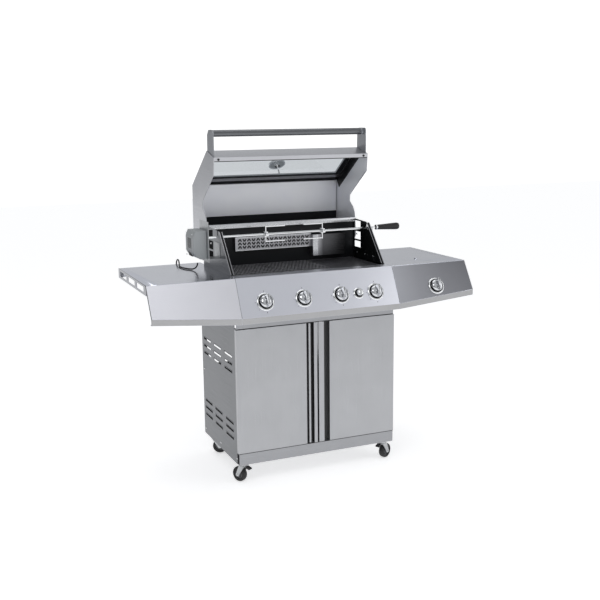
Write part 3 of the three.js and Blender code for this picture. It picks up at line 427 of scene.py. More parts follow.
def carried(profile, path, side):
    # a closed outline carried along a path of points, square to it: place = path point + u * first axis
    # + v * second axis, where side is the direction that the first axis keeps near to
    path = np.array(path, float)
    along = np.gradient(path, axis=0)
    along /= np.linalg.norm(along, axis=1)[:, None]
    first = np.cross(np.cross(along, side), along)
    first /= np.linalg.norm(first, axis=1)[:, None]
    second = np.cross(along, first)
    profile = np.array(profile, float)
    grid = path[:, None] + profile[None, :, :1] * first[:, None] + profile[None, :, 1:] * second[:, None]
    return grid.reshape(-1, 3), ringFaces(len(path), len(profile))


def merged(*parts):
    # several sets of vertices and faces as one
    vertices, faces, start = [], [], 0
    for points, some in parts:
        points = np.asarray(points)
        vertices.append(points)
        faces += [tuple(int(i) + start for i in f) for f in some]
        start += len(points)
    return np.concatenate(vertices), faces


def frameAt(place, axis, up=(0, 0, 1)):
    # a frame at a place in the grill: Z along the axis, Y as near to up as it can be
    z = Vector(axis).normalized()
    x = Vector(up).cross(z).normalized()
    y = z.cross(x)
    return Matrix.Translation(place) @ Matrix((x, y, z)).transposed().to_4x4()


# The mains lead with its coil and plug. Lengths are in millimetres.
lead = {"radius": 3.0, "coilRadius": 33, "turns": 2, "rise": 6.5, "coilAt": (-152, 296), "floor": 3.6,
        "plugEnd": (-104, 296), "plugHeight": 14.4, "leaving": 25.7, "step": 4}
plugShape = {"at": (-80, 296, 0.5), "pinX": -59.5, "pinHeight": 12.4, "pinApart": 6, "sleeveX": -100}
reliefShape = {"at": (-433, 40, 937.8), "ribs": 6, "pitch": 3.4, "thick": 6, "thinner": 0.33}
route = [(-433, 40, 913.1), (-433.2, 40.3, 907.6), (-435.4, 43.4, 898.6), (-440.6, 50.8, 890.2),
         (-448, 61.5, 885), (-457, 75.6, 883.6), (-466.5, 94, 883.6), (-474.5, 122, 883.6),
         (-477, 155, 883.6), (-471, 190, 883.8), (-464, 216, 888.2), (-459.6, 237, 896),
         (-458.2, 251.5, 899.4), (-457.8, 264, 898.6), (-457.8, 275, 893), (-458, 282.4, 882.6),
         (-458.2, 284.4, 866), (-454, 282, 838), (-441, 276, 802.6), (-420, 268, 767.6), (-390, 257, 734.6),
         (-364, 249, 704.6), (-353, 245, 682), (-352, 242, 663), (-352, 242, 647), (-350, 244, 600),
         (-343, 244, 500), (-326, 244, 400), (-304, 244, 300), (-283, 244, 200), (-273, 244, 150),
         (-270, 242, 130), (-270, 242, 114), (-268, 248, 70), (-264, 257, 35), (-256, 272, 12),
         (-246, 290, 4), (-234, 306, 3.6), (-218, 318, 3.6), (-186.5, 326.6, 3.6)]


def curved(points):
    # a smooth line through points: between each two a cubic that leans along their neighbours
    p = np.array(points, float)
    p = np.vstack([2 * p[0] - p[1], p, 2 * p[-1] - p[-2]])
    t = np.linspace(0, 1, 24, endpoint=False)[:, None]
    parts = [0.5 * (2 * b + (c - a) * t + (2 * a - 5 * b + 4 * c - d) * t ** 2
                    + (3 * b - a - 3 * c + d) * t ** 3) for a, b, c, d in zip(p, p[1:], p[2:], p[3:])]
    return np.vstack([*parts, p[-2:-1]])


def coilLine():
    # clockwise turns about an upright axis, x = r sin a, y = r cos a, z climbing a little more than
    # a diameter each turn, then two arcs that lead to the plug
    (cx, cy), r = lead["coilAt"], lead["coilRadius"]
    a = np.linspace(0, 2 * np.pi * lead["turns"], 36 * lead["turns"] + 1)
    climb = lead["floor"] + lead["rise"] * a / (2 * np.pi)
    helix = np.column_stack([cx + r * np.sin(a), cy + r * np.cos(a), climb])
    bend = lead["leaving"]
    angle = math.asin((lead["plugEnd"][0] - cx) / (2 * bend))
    t = np.linspace(0, angle, 14)[1:]
    first = np.column_stack([cx + bend * np.sin(t), cy + r - bend + bend * np.cos(t)])
    second = np.array(lead["plugEnd"]) - (first[::-1] - (cx, cy + r))
    plan = np.vstack([first, second[1:], [lead["plugEnd"]]])
    share = np.linspace(0, 1, len(plan))
    top = helix[-1, 2]
    lift = (top, top + 0.7, top + 0.9, top - 0.6, lead["plugHeight"])
    height = np.interp(share, (0, 0.25, 0.5, 0.75, 1), lift)
    return np.vstack([helix, np.column_stack([plan, height])])


def evenly(line, step):
    # the same line with its points the same distance apart
    gone = np.concatenate([[0], np.cumsum(np.linalg.norm(np.diff(line, axis=0), axis=1))])
    even = np.linspace(0, gone[-1], int(gone[-1] / step) + 1)
    return np.column_stack([np.interp(even, gone, line[:, k]) for k in range(3)])


def tube(line, radius, around=12):
    # a circle carried along a line square to it, each one turned no more than the line itself turns
    ahead = np.gradient(line, axis=0)
    ahead /= np.linalg.norm(ahead, axis=1)[:, None]
    first = np.empty_like(line)
    first[0] = np.cross(ahead[0], (0, 1, 0))
    for i in range(1, len(line)):
        first[i] = first[i - 1] - ahead[i] * (first[i - 1] @ ahead[i])
        first[i] /= np.linalg.norm(first[i])
    second = np.cross(ahead, first)
    a = np.linspace(0, 2 * np.pi, around, endpoint=False)[None, :, None]
    grid = line[:, None] + radius * (np.cos(a) * first[:, None] + np.sin(a) * second[:, None])
    return placeIn(cabinetFrame, grid.reshape(-1, 3)), ringFaces(len(line), around)


def addPlug():
    place = Matrix.Translation(row(*plugShape["at"]))
    middle = plugShape["at"][1]
    body = slab(place, 44, 28, 25.5, 8, 6)
    collar = slab(place, 8, 29.5, 20, 3, 2, (-12, 0), 2)
    sleeve = lathe([[pole, -6], [7, -6], [7, -1], [5.6, 1], [5.6, 3], [4.4, 5], [pole, 5]],
                   frameAt(row(plugShape["sleeveX"], middle, lead["plugHeight"]), (-1, 0, 0)), 24)
    plug = addMesh("plug_body", *merged(body, collar, sleeve), "grill", "blackPlastic", 40)
    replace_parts(plug, "mains_plug")
    pinProfile = [[pole, 0], [2.3, 0], [2.3, 17.5], [1.4, 19], [pole, 19.2]]
    pinPlaces = [row(plugShape["pinX"], middle + y, plugShape["pinHeight"])
                 for y in (-plugShape["pinApart"], plugShape["pinApart"])]
    pins = [lathe(pinProfile, frameAt(p, (1, 0, 0)), 16) for p in pinPlaces]
    return plug, addMesh("plug_pins", *merged(*pins), "grill", "brightChrome", 40)


def addRelief():
    # the ribbed sleeve where the lead leaves the motor, each rib a little thinner than the one above
    profile = [[pole, -0.2], [7, -0.2], [7, 2.6]]
    for i in range(reliefShape["ribs"]):
        radius, start = reliefShape["thick"] - reliefShape["thinner"] * i, reliefShape["pitch"] * i
        profile += [[radius, 3 + start], [radius, 5.2 + start],
                    [radius - 1, 5.5 + start], [radius - 1, 6.1 + start]]
    place = frameAt(row(*reliefShape["at"]), (0, 0, -1))
    relief = addMesh("lead_relief", *lathe(profile + [[4, 24.2], [pole, 24.2]], place, 28),
                     "grill", "blackPlastic", 35)
    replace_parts(relief, "strain_relief")


def addLead():
    winding = coilLine()
    line = evenly(np.vstack([curved([*route, winding[0], winding[1]])[:-1], winding[1:]]), lead["step"])
    cord = addMesh("lead_cable", *tube(line, lead["radius"]), "grill", "cordBlack", 60)
    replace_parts(cord, "mains_lead", "cord_coil")
    plug, pinPiece = addPlug()
    addRelief()


addLead()

# places on the lid's closed section, and the angle in degrees by which it is swung open about its hinge
hinge = {"y": 150, "z": 985, "open": -83.5}
lidSection = {"glassFoot": (-247, 982), "peak": (-64, 1190.6), "roofRun": 269, "roofFall": 26,
              "bumper": (-223, 884), "edge": (-214.5, 884)}


def lidFrame(y, z, slope=0.0):
    # a frame on the lid at a place of its closed section: X along the grill, Y up a slope, Z out of it
    swing = Matrix.Rotation(math.radians(hinge["open"]), 4, "X")
    atHinge = Matrix.Translation(row(0, hinge["y"], hinge["z"]))
    local = Matrix.Translation(Vector((0, y - hinge["y"], z - hinge["z"])) / 1000)
    return atHinge @ swing @ local @ Matrix.Rotation(slope, 4, "X")


footY, footZ = lidSection["glassFoot"]
peakY, peakZ = lidSection["peak"]
panelFrame = lidFrame(footY, footZ, math.atan2(peakZ - footZ, peakY - footY))


# The frame's own nodes: softened copies with their finishes.
def paintLightAlongX(name, look, stops):
    # a copy of a finish whose colour is multiplied by levels given at places along the grill, in millimetres:
    # painted light and shade across the grill
    material = looks[look][0].copy()
    material.name = name
    tree = material.node_tree
    shader = tree.nodes["Principled BSDF"]
    source = shader.inputs["Base Color"].links[0].from_socket
    place = tree.nodes.new("ShaderNodeTexCoord")
    split = tree.nodes.new("ShaderNodeSeparateXYZ")
    tree.links.new(place.outputs["Object"], split.inputs[0])
    fraction = spread(tree, split.outputs["X"], 0, 1, stops[0][0] / 1000, stops[-1][0] / 1000)
    ramp = tree.nodes.new("ShaderNodeValToRGB")
    tree.links.new(fraction, ramp.inputs["Fac"])
    span = stops[-1][0] - stops[0][0]
    for i, (x, level) in enumerate(stops):
        element = ramp.color_ramp.elements[i] if i < 2 else ramp.color_ramp.elements.new(1)
        element.position = (x - stops[0][0]) / span
        element.color = (level, level, level, 1)
    product = tree.nodes.new("ShaderNodeMix")
    product.data_type = "RGBA"
    product.blend_type = "MULTIPLY"
    product.inputs["Factor"].default_value = 1
    tree.links.new(source, product.inputs[6])
    tree.links.new(ramp.outputs["Color"], product.inputs[7])
    tree.links.new(product.outputs[2], shader.inputs["Base Color"])
    looks[name] = (material, looks[look][1])


# painted light and shade: the left fascia lighter towards its outer end, the right one darker and darker
# towards its end
paintLightAlongX("leftFascia", "faceSteel", [(-725, 1.02), (-640, 1.0), (-357, 0.84)])
paintLightAlongX("rightFascia", "panelSteel", [(357, 0.52), (470, 0.38), (600, 0.30), (725, 0.26)])
# painted shade: each shelf's end face darkened to a quarter of the top's colour
paintLightAlongX("shelfSteel", "topSteel",
       [(-725, 0.25), (-724.3, 0.25), (-723.6, 1), (723.6, 1), (724.3, 0.25), (725, 0.25)])
# painted light and shade: each firebox cheek's outer face lighter, its inner face inside the firebox nearly
# black
paintLightAlongX("cheekSteel", "sideSteel",
       [(-357, 1.5), (-353.9, 1.5), (-353.2, 0.13), (353.2, 0.13), (353.9, 1.5), (357, 1.5)])
# painted shade: the burner shield darker and darker towards its right-hand end, beside the gap
paintLightAlongX("shieldSteel", "burnerSteel", [(126, 1.0), (158, 0.9), (176, 0.3), (285, 0.16)])
# painted light: the lid handle's brackets at its ends much lighter than the bar between them
paintLightAlongX("handleSteel", "sideSteel",
       [(-366, 2.5), (-349, 2.4), (-342, 1.0), (342, 1.0), (349, 2.4), (366, 2.5)])

nodeLooks = {
    "base_panel": "frontSteel", "side_panel_left": "sideSteel", "side_panel_right": "sideSteel",
    "back_panel": "sideSteel", "front_rail": "frontSteel", "control_panel": "panelSteel",
    "door_left": "doorSteel", "door_right": "doorSteel", "shelf_left": "shelfSteel",
    "shelf_right": "shelfSteel", "side_burner_lid": "topSteel",
    "side_burner_pan": "blackEnamel", "side_burner_trivet": "castIron",
    "firebox_side_left": "cheekSteel", "firebox_side_right": "cheekSteel", "firebox_tub": "blackEnamel",
    "burner_tube_1": "zincSteel", "burner_tube_2": "zincSteel", "burner_tube_3": "zincSteel",
    "heat_tent_1": "zincSteel", "heat_tent_2": "zincSteel", "heat_tent_3": "zincSteel",
    "gas_manifold": "zincSteel", "griddle": "griddleIron", "rear_burner": "burnerSteel",
    "burner_shield": "shieldSteel", "grease_tray": "zincSteel", "lid_shell": "lidSteel",
    "lid_window": "windowGlass", "lid_handle": "handleSteel", "motor_bracket": "zincSteel",
    "motor_housing": "greyPaint", "motor_switch": "blackPlastic", "spit_rod": "brightChrome",
    "spit_fork_left": "brightChrome", "spit_fork_right": "brightChrome",
}
for name in frame["nodes"]:
    if name.startswith("caster_fork"):
        nodeLooks[name] = "zincSteel"
    if name.startswith("brake_lever"):
        nodeLooks[name] = "blackPlastic"
bodyOf = {name: node["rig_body"] for name, node in frame["nodes"].items()}
asCad = {"lid_window"}  # keeps its own mesh, as its pane has to stay flat
wholeFaces = {"shelf_left", "shelf_right", "side_burner_pan"}  # twisted or pierced, so left as they are
edgeWidth = {"motor_housing": 0.004, "griddle": 0.0012, "lid_handle": 0.0012}
thinEdge = 0.0006


def soften(node, width):
    # a copy of a node, its flat faces joined up and its edges rounded, that stands for it
    mesh = frame["nodes"][node].data.copy()
    work = bmesh.new()
    work.from_mesh(mesh)
    bmesh.ops.remove_doubles(work, verts=work.verts, dist=1e-6)
    if node in wholeFaces:
        width = 0
    else:
        bmesh.ops.dissolve_limit(work, angle_limit=math.radians(0.5), verts=work.verts, edges=work.edges)
    work.to_mesh(mesh)
    work.free()
    piece = addPiece(node + "_soft", mesh, bodyOf[node], nodeLooks[node], 30, width)
    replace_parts(piece, node)
    return piece


for name, node in frame["nodes"].items():
    if name in asCad:
        node.data.materials.clear()
        node.data.materials.append(looks[nodeLooks[name]][0])
    elif name in nodeLooks:  # the others are made anew below
        soften(name, edgeWidth.get(name, thinEdge))
print("nodes softened")

# Knobs and igniter, each with its bezel and a black well of painted shade round it.
knobSizes = {"radius": 26, "standOff": 8, "top": 42, "gripWidth": 13, "bezel": 38.5, "stem": 4,
             "stemDepth": 30}
knobNodes = {"knob_1": ("knob_one", "knob_one_turn"), "knob_2": ("knob_two", "knob_two_turn"),
             "knob_3": ("knob_three", "knob_three_turn"), "knob_4": ("knob_four", "knob_four_turn"),
             "knob_side_burner": ("side_knob", "side_knob_turn")}
tickMarks = ((90, 7), (180, 4), (225, 4), (270, 6))  # degrees round the knob, and length
stemGap = 6.2  # radius of the hole that each well leaves round its stem


def addBezel(name, place, radius, hole):
    profile = [[hole, 0.2], [radius - 0.5, 0.2], [radius, 1.2], [radius - 1, 3.4], [radius - 3.5, 5.2],
               [hole + 2.2, 5.6], [hole + 0.4, 4.6], [hole, 3]]
    addMesh(name, *lathe(profile, place, 56, True), "grill", "brightChrome", 60)


def addShadeWell(name, place, radius, height, step, around):
    # the dark dish between a bezel and its stem: painted shade round the knob, in black plastic
    profile = [[stemGap, 0.25], [radius, 0.25], [radius, height], [step, height], [step - 0.4, 1],
               [stemGap, 1]]
    addMesh(name, *lathe(profile, place, around, True), "grill", "blackPlastic", 40)


def stemAt(place, end):
    size, depth = knobSizes["stem"], knobSizes["stemDepth"]
    return lathe([[pole, -depth], [size, -depth], [size, end], [pole, end]], place, 16)


def addKnob(node, body, joint):
    k = knobSizes
    place = frameAt(joints[joint]["pos_m"], joints[joint]["axis"])
    r, base, top = k["radius"], k["standOff"], k["top"]
    skirt = [[pole, base], [r - 1.2, base], [r, base + 1.2], [r, base + 4], [r - 1.2, base + 7],
             [r - 5, base + 10], [r - 11, base + 12.2], [pole, base + 13]]
    grip = slab(place, k["gripWidth"], 2 * r - 3, top - base - 6, 6, 3.2, base=base + 6)
    cap = merged(lathe(skirt, place, 56), grip, stemAt(place, base + 1))
    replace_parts(addMesh(node + "_cap", *cap, body, "knobChrome", 40), node)
    addMesh(node + "_mark", *slab(place, 1.8, 13, 0.5, 0.9, 0.2, (0, 14), top - 0.2), body, "blackPlastic")
    addBezel(node + "_bezel", place, k["bezel"], r + 4.5)
    addShadeWell(node + "_well", place, r + 4.4, 2.6, r + 3.6, 48)
    ticks = []
    for turn, length in tickMarks:
        around = place @ Matrix.Rotation(math.radians(turn), 4, "Z")
        ticks.append(slab(around, length, 1.6, 0.25, 0.7, 0.1, (k["bezel"] + 3 + length / 2, 0), 0.15))
    addMesh(node + "_marks", *merged(*ticks), "grill", "printInk")


for node, (body, joint) in knobNodes.items():
    addKnob(node, body, joint)

igniterSizes = {"at": (173, -271.02, 783.16), "bezel": 25, "hole": 18}
igniterPlace = frameAt(row(*igniterSizes["at"]), [-c for c in joints["igniter_press"]["axis"]])
capProfile = [[pole, 8], [12, 8], [13, 9], [13, 17], [12, 19.5], [9, 20.5], [7, 19.8], [pole, 19.4]]
igniterCap = merged(lathe(capProfile, igniterPlace, 40), stemAt(igniterPlace, 9))
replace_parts(addMesh("igniter_cap", *igniterCap, "igniter", "brightChrome", 40), "igniter_button")
addBezel("igniter_bezel", igniterPlace, igniterSizes["bezel"], igniterSizes["hole"])
addShadeWell("igniter_well", igniterPlace, igniterSizes["hole"] - 0.1, 2.4, igniterSizes["hole"] - 1, 40)
print("knobs ready")

# The lid: liner, window frame, thermometer and bumpers.
roofFrame = lidFrame(peakY, peakZ, math.atan2(-lidSection["roofFall"], lidSection["roofRun"]))
# the window's hole and its frame: from, to, up the panel's slope, and half the width
lidSizes = {"linerEnd": 146, "linerHalf": 352, "darkHalf": 355, "darkEnd": 262, "skin": -2.4,
            "hole": (45, 203, 322), "frame": (24, 216, 345), "frameDepth": (-9.6, -7.0), "gasket": 2.5,
            "gasketDepth": (-2.1, 0.2), "trim": (218, 246, 354), "shadow": (247, 272, 354)}


def plate(place, start, end, half, low, high, x0=None):
    # a flat sheet: from start to end up the frame's slope, from low to high out of it
    left = -half if x0 is None else x0
    return slab(place, half - left, end - start, high - low, 1.2, min(0.3, (high - low) / 3),
                ((half + left) / 2, (start + end) / 2), low)


def windowRing(inner, outer, depth):
    # four strips between two rectangles on the window's panel
    low, high = depth
    return merged(plate(panelFrame, outer[0], inner[0], outer[2], low, high),
                  plate(panelFrame, inner[1], outer[1], outer[2], low, high),
                  plate(panelFrame, inner[0], inner[1], outer[2], low, high, inner[2]),
                  plate(panelFrame, inner[0], inner[1], -inner[2], low, high, -outer[2]))


linerEnd, linerHalf, skin = lidSizes["linerEnd"], lidSizes["linerHalf"], lidSizes["skin"]
addMesh("lid_liner", *plate(roofFrame, 5, linerEnd, linerHalf, -8, -6.5), "lid", "linerSteel")
addMesh("lid_liner_return", *plate(roofFrame, 3, 5, linerHalf, -12, skin), "lid", "linerSteel")
# painted shade: a black band on the roof's inside past the liner's end, where the lid's inside falls into
# shadow
paintedShadeBand = plate(roofFrame, linerEnd + 1, lidSizes["darkEnd"], lidSizes["darkHalf"], -4.2, skin)
addMesh("lid_painted_shade_band", *paintedShadeBand, "lid", "blackEnamel")
hole = lidSizes["hole"]
windowFrame = windowRing(hole, lidSizes["frame"], lidSizes["frameDepth"])
addMesh("lid_window_frame", *windowFrame, "lid", "blackEnamel")
addMesh("lid_lower_trim", *plate(panelFrame, *lidSizes["trim"], -5.4, skin), "lid", "burnerSteel")
addMesh("lid_shadow_strip", *plate(panelFrame, *lidSizes["shadow"], -4.0, skin), "lid", "blackEnamel")
wide = lidSizes["gasket"]
gasketHole = (hole[0] + wide, hole[1] - wide, hole[2] - wide)
addMesh("lid_window_gasket", *windowRing(gasketHole, hole, lidSizes["gasketDepth"]), "lid", "blackRubber")
bumperProfile = [[pole, -3.4], [3.6, -3.4], [5, -2.2], [5, 0.3], [pole, 0.3]]
bumperFrames = [lidFrame(*lidSection["bumper"]) @ Matrix.Translation((x / 1000, 0, 0)) for x in (-338, 338)]
addMesh("lid_bumpers", *merged(*[lathe(bumperProfile, m, 24) for m in bumperFrames]), "lid", "blackRubber")
addMesh("lid_edge_trim", *slab(lidFrame(*lidSection["edge"]), 711, 3.2, 5.5, 1, 0.5, (0, 0), -0.3),
        "lid", "blackRubber")
# the inner face of each side plate: its outline when the lid is shut, set in a little from the plate's edge
sideOutline = [(-243, 984), (-230, 888), (-157, 888), (-24, 1034), (8, 1034), (27, 1001), (48, 986),
               (80, 976), (124, 968), (170, 975), (201, 1010), (201, 1160), (-64, 1186.5)]
windowShade = [(-240, 986), (-206, 957), (-33, 1154), (-66, 1184)]
liningThick = 0.65


def addLidSide(name, side, outline, face, look):
    corners = [[side * x, y - hinge["y"], z - hinge["z"]]
               for x in (face, face - liningThick) for y, z in outline]
    vertices = placeIn(lidFrame(hinge["y"], hinge["z"]), corners)
    facesOut(addMesh(name, vertices, ringFaces(2, len(outline)), "lid", look))


for side, name in sides:
    addLidSide("lid_side_lining_" + name, side, sideOutline, 356.95, "linerSteel")
    addLidSide("lid_side_shade_" + name, side, windowShade, 356.25, "blackEnamel")

dialSizes = {"upPanel": 121, "tickCount": 31, "sweep": 270, "start": 225, "needle": 205}
dialFrame = panelFrame @ Matrix.Translation((0, dialSizes["upPanel"] / 1000, 0))


def dialTurn(degrees):
    return dialFrame @ Matrix.Rotation(math.radians(degrees), 4, "Z")


dialRim = [[33, -1.9], [38, -1.9], [38.5, 2], [37.5, 5.5], [35, 6.6], [33.4, 6.2], [32.8, 4]]
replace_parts(addMesh("thermometer_rim", *lathe(dialRim, dialFrame, 64, True), "lid", "brightChrome", 60),
            "thermometer")
innerRim = [[32.5, -2.2], [37.4, -2.2], [37.8, -3.2], [36.6, -4.6], [33.6, -4.6], [32.5, -3.4]]
addMesh("thermometer_inner_rim", *lathe(innerRim, dialFrame, 64, True), "lid", "knobChrome", 60)
dialBack = [[pole, -2.0], [33.4, -2.0], [33.4, 1.5], [pole, 1.5]]
addMesh("thermometer_back", *lathe(dialBack, dialFrame, 64), "lid", "blackEnamel")
dialFace = [[pole, 1.6], [33, 1.6], [33, 2.0], [pole, 2.0]]
addMesh("thermometer_face", *lathe(dialFace, dialFrame, 64), "lid", "dialWhite")
dialTicks = []
for i in range(dialSizes["tickCount"]):
    place = dialTurn(dialSizes["start"] - dialSizes["sweep"] * i / (dialSizes["tickCount"] - 1))
    dialTicks.append(slab(place, 5 if i % 5 == 0 else 3, 0.9, 0.2, 0.3, 0.05, (28.5, 0), 2.0))
addMesh("thermometer_ticks", *merged(*dialTicks), "lid", "printInk")
needle = merged(slab(dialTurn(dialSizes["needle"]), 30, 1.4, 0.5, 0.5, 0.1, (9, 0), 2.6),
                lathe([[pole, 2.0], [2.6, 2.0], [2.6, 3.6], [pole, 4]], dialFrame, 24))
addMesh("thermometer_needle", *needle, "lid", "needleRed")
stemParts = merged(lathe([[pole, -10], [8, -10], [8, -1.9], [pole, -1.9]], dialFrame, 24),
                   lathe([[pole, -50.2], [2.4, -50.2], [3, -48], [3, -9], [pole, -9]], dialFrame, 20),
                   lathe([[pole, -13], [13, -13], [13, -9.7], [pole, -9.7]], dialFrame, 6))
addMesh("thermometer_stem", *stemParts, "lid", "brightChrome", 35)
pivotProfile = [[pole, 0], [9, 0], [9.5, 1], [8.5, 4], [5.5, 6.4], [pole, 7.2]]
for side, name in sides:
    place = frameAt(row(side * 362.2, hinge["y"], hinge["z"]), (side, 0, 0))
    addMesh("lid_pivot_cap_" + name, *lathe(pivotProfile, place, 32), "grill", "brightChrome")
print("lid ready")

# The firebox: rear rail, cheek edges, burner slots and grates.
rail = {"half": 352, "front": 120.6, "back": 137, "low": 1041, "top": 1058, "thick": 0.6}
grate = {"wire": 2.8, "bars": 14, "crossBars": 9}
burner = {"x0": -226, "x1": 116, "y": 111.9, "z0": 941, "z1": 1001, "columns": 16, "rows": 3, "margin": 7,
          "lean": 58, "strip": (13.8, 6.6, 0.35)}
cheek = {"x": 347, "face": 351.6, "foot": (-163, 882), "rise": (-166, 143), "length": 214,
         "lines": (-5.6, 5.6), "middle": 109, "screws": ((-60, 900), (20, 900), (100, 900), (100, 985))}


def boxAt(x0, x1, y0, y1, z0, z1):
    # a block between two corners, in millimetres from the cabinet's middle, its upper edges rounded
    centre = ((x0 + x1) / 2, (y0 + y1) / 2)
    return slab(cabinetFrame, x1 - x0, y1 - y0, z1 - z0, 0.8, 0.3, centre, z0)


def along(points, radius, around=10):
    # a round bar along a path given in millimetres: a circle carried square to it
    a = np.linspace(0, 2 * np.pi, around, endpoint=False)
    circle = np.column_stack([radius * np.cos(a), radius * np.sin(a)])
    path = np.array(points, float)
    straight = path[-1] - path[0]
    side = (0, 0, 1) if abs(straight[2]) < abs(straight).max() else (1, 0, 0)
    vertices, faces = carried(circle, path, side)
    return placeIn(cabinetFrame, vertices), faces


def addScrews(name, profile, places, around):
    heads = [lathe(profile, place, around) for place in places]
    addMesh(name, *merged(*heads), "grill", "brightChrome")


railEnd, railFront, railTop = rail["half"], rail["front"], rail["top"]
railFace = boxAt(-railEnd, railEnd, railFront, railFront + rail["thick"], rail["low"], railTop + 0.5)
railUpper = boxAt(-railEnd, railEnd, railFront, rail["back"], railTop + 0.1, railTop + 0.7)
addMesh("rear_rail", *merged(railFace, railUpper), "grill", "brightSheet")
cheekScrew = [[pole, -1], [4, -1], [4, 0.8], [2.6, 2], [pole, 2.3]]
for side, name in sides:
    edge = frameAt(row(side * cheek["x"], *cheek["foot"]), Vector((0, *cheek["rise"])).normalized())
    # painted highlights: two thin strips of lighter steel along the edges of each cheek's sloping flange
    lines = [slab(edge, 2.6, cheek["length"], 0.7, 0.6, 0.2, (offset, cheek["middle"]), 0.02)
             for offset in cheek["lines"]]
    addMesh("cheek_edge_" + name, *merged(*lines), "grill", "burnerSteel")
    places = [frameAt(row(side * cheek["face"], y, z), (-side, 0, 0)) for y, z in cheek["screws"]]
    addScrews("cheek_screws_" + name, cheekScrew, places, 20)


def addBurnerFace():
    # rows of dark arrowheads along the burner's front, each of two leaning strips: black marks for its slots,
    # painted as the shade inside them
    strips = []
    step = (burner["x1"] - burner["x0"]) / burner["columns"]
    rise = (burner["z1"] - burner["z0"] - 2 * burner["margin"]) / burner["rows"]
    for column in range(burner["columns"]):
        for line in range(burner["rows"]):
            x = burner["x0"] + (column + 0.5) * step
            z = burner["z0"] + burner["margin"] + (line + 0.5) * rise
            for side in (-1, 1):
                place = frameAt(row(x + side * step * 0.19, burner["y"], z), (0, -1, 0))
                lean = math.radians((side if column % 2 else -side) * burner["lean"])
                strips.append(slab(place @ Matrix.Rotation(lean, 4, "Z"), *burner["strip"], 2, 0.1))
    addMesh("burner_slots", *merged(*strips), "grill", "blackPlastic")
    rim = [boxAt(-237, 125, 110.9, 112, z, z + 3) for z in (941, 998)]
    addMesh("burner_rim", *merged(*rim), "grill", "brightSheet")


addBurnerFace()
addMesh("shield_fold", *boxAt(126, 152, 90.2, 90.9, 900, 994), "grill", "brightSheet")


def addGrate(node):
    # round wires from front to back on two cross wires, with a frame round them
    low, high = (np.array(p) * 1000 - np.array([0, rowShift, 0]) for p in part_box(node))
    r = grate["wire"]
    top = high[2] - r
    wires = [along([(x, low[1] + r, top), (x, high[1] - r, top)], r)
             for x in np.linspace(low[0] + r, high[0] - r, grate["bars"])]
    wires += [along([(low[0] + r, y, top), (high[0] - r, y, top)], r)
              for y in np.linspace(low[1] + r, high[1] - r, grate["crossBars"])]
    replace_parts(addMesh(node + "_wires", *merged(*wires), bodyOf[node], "grateIron", 60), node)


for node in ("grate_left", "grate_centre"):
    addGrate(node)
print("firebox ready")

# The cabinet: door channels, seams, louvre lips and screws, with black strips of painted shade in the
# channels and door gaps.
doors = {"front": -235.5, "floor": -219.5, "low": 142.4, "high": 666.1}
louvres = {"x": 364.1, "levels": (511, 221), "columns": (-127, 19, 160), "rows": (-33, 0, 33), "lip": 5.6}
sideScrews = {"x": 364.0, "at": ((-215, 116), (0, 116), (215, 116), (215, 400), (215, 680), (-215, 690),
                                 (60, 690))}


def upright(outline, low, high):
    # an outline in plan, in millimetres and counter-clockwise, raised from one height to another
    outline = np.array(outline, float)
    grid = np.concatenate([np.column_stack([outline, np.full(len(outline), h)]) for h in (low, high)])
    return placeIn(cabinetFrame, grid), ringFaces(2, len(outline))


def block(x0, x1, y0, y1, low, high):
    # a block with square edges
    return upright([(x0, y0), (x1, y0), (x1, y1), (x0, y1)], low, high)


low, high, face, floor = doors["low"], doors["high"], doors["front"], doors["floor"]
# painted shade: black slabs on the channels' floors and walls, where the recesses fall into shadow
leftChannelShade = merged(block(-52.7, -18.6, floor - 0.5, floor + 0.02, low, high),
                    block(-52.75, -52.3, face + 0.6, floor, low, high),
                    block(-19.0, -18.55, face + 0.4, floor, low, high))
addMesh("left_channel_shade", *leftChannelShade, "left_door", "blackPlastic")
rib = [(-41.6, floor - 0.4), (-41.6, face + 3.2), (-40.6, face + 2.2), (-33.6, face + 2.2),
       (-32.6, face + 3.2), (-32.6, floor - 0.4)]
addMesh("left_channel_rib", *upright(rib, low, high), "left_door", "doorSteel")
rightChannelShade = merged(block(28.1, 43, floor - 0.5, floor + 0.02, low, high),
                     block(28.05, 28.5, face + 0.4, floor, low, high))
addMesh("right_channel_shade", *rightChannelShade, "right_door", "blackPlastic")
# painted shade: the right channel's sloped wall, in the dark copy of the steel
channelSlope = [(43, floor - 0.4), (50, floor - 6.4), (53.6, face + 0.4), (54, face + 1), (50.2, floor - 5.9),
                (43.2, floor + 0.1)]
addMesh("right_channel_slope", *upright(channelSlope, low, high), "right_door", "trimSteel")
# painted shade: black strips in the gap above the doors and along the plinth's top edge
gapShade = merged(block(-362, 362, face + 3.5, face + 6, 668.6, 669.4),
                  block(-362, 362, -236.0, -235.4, 138.0, 139.5))
addMesh("door_gap_shade", *gapShade, "grill", "blackPlastic")
addMesh("rail_shadow_line", *block(-361, 361, -232.1, -231.4, 669.7, 671.6), "grill", "blackPlastic")
sideScrew = [[pole, -0.5], [4.2, -0.5], [4.2, 0.7], [2.8, 2], [pole, 2.4]]
for side, name in sides:
    lips = [slab(frameAt(row(side * louvres["x"], y, level + z + louvres["lip"]), (side, 0, 0)),
                 100, 2.4, 1.3, 1.1, 0.6, (0, 0), -0.2)
            for level in louvres["levels"] for y in louvres["columns"] for z in louvres["rows"]]
    addMesh("louvre_lips_" + name, *merged(*lips), "grill", "sideSteel")
    places = [frameAt(row(side * sideScrews["x"], y, z), (side, 0, 0)) for y, z in sideScrews["at"]]
    addScrews("side_screws_" + name, sideScrew, places, 20)

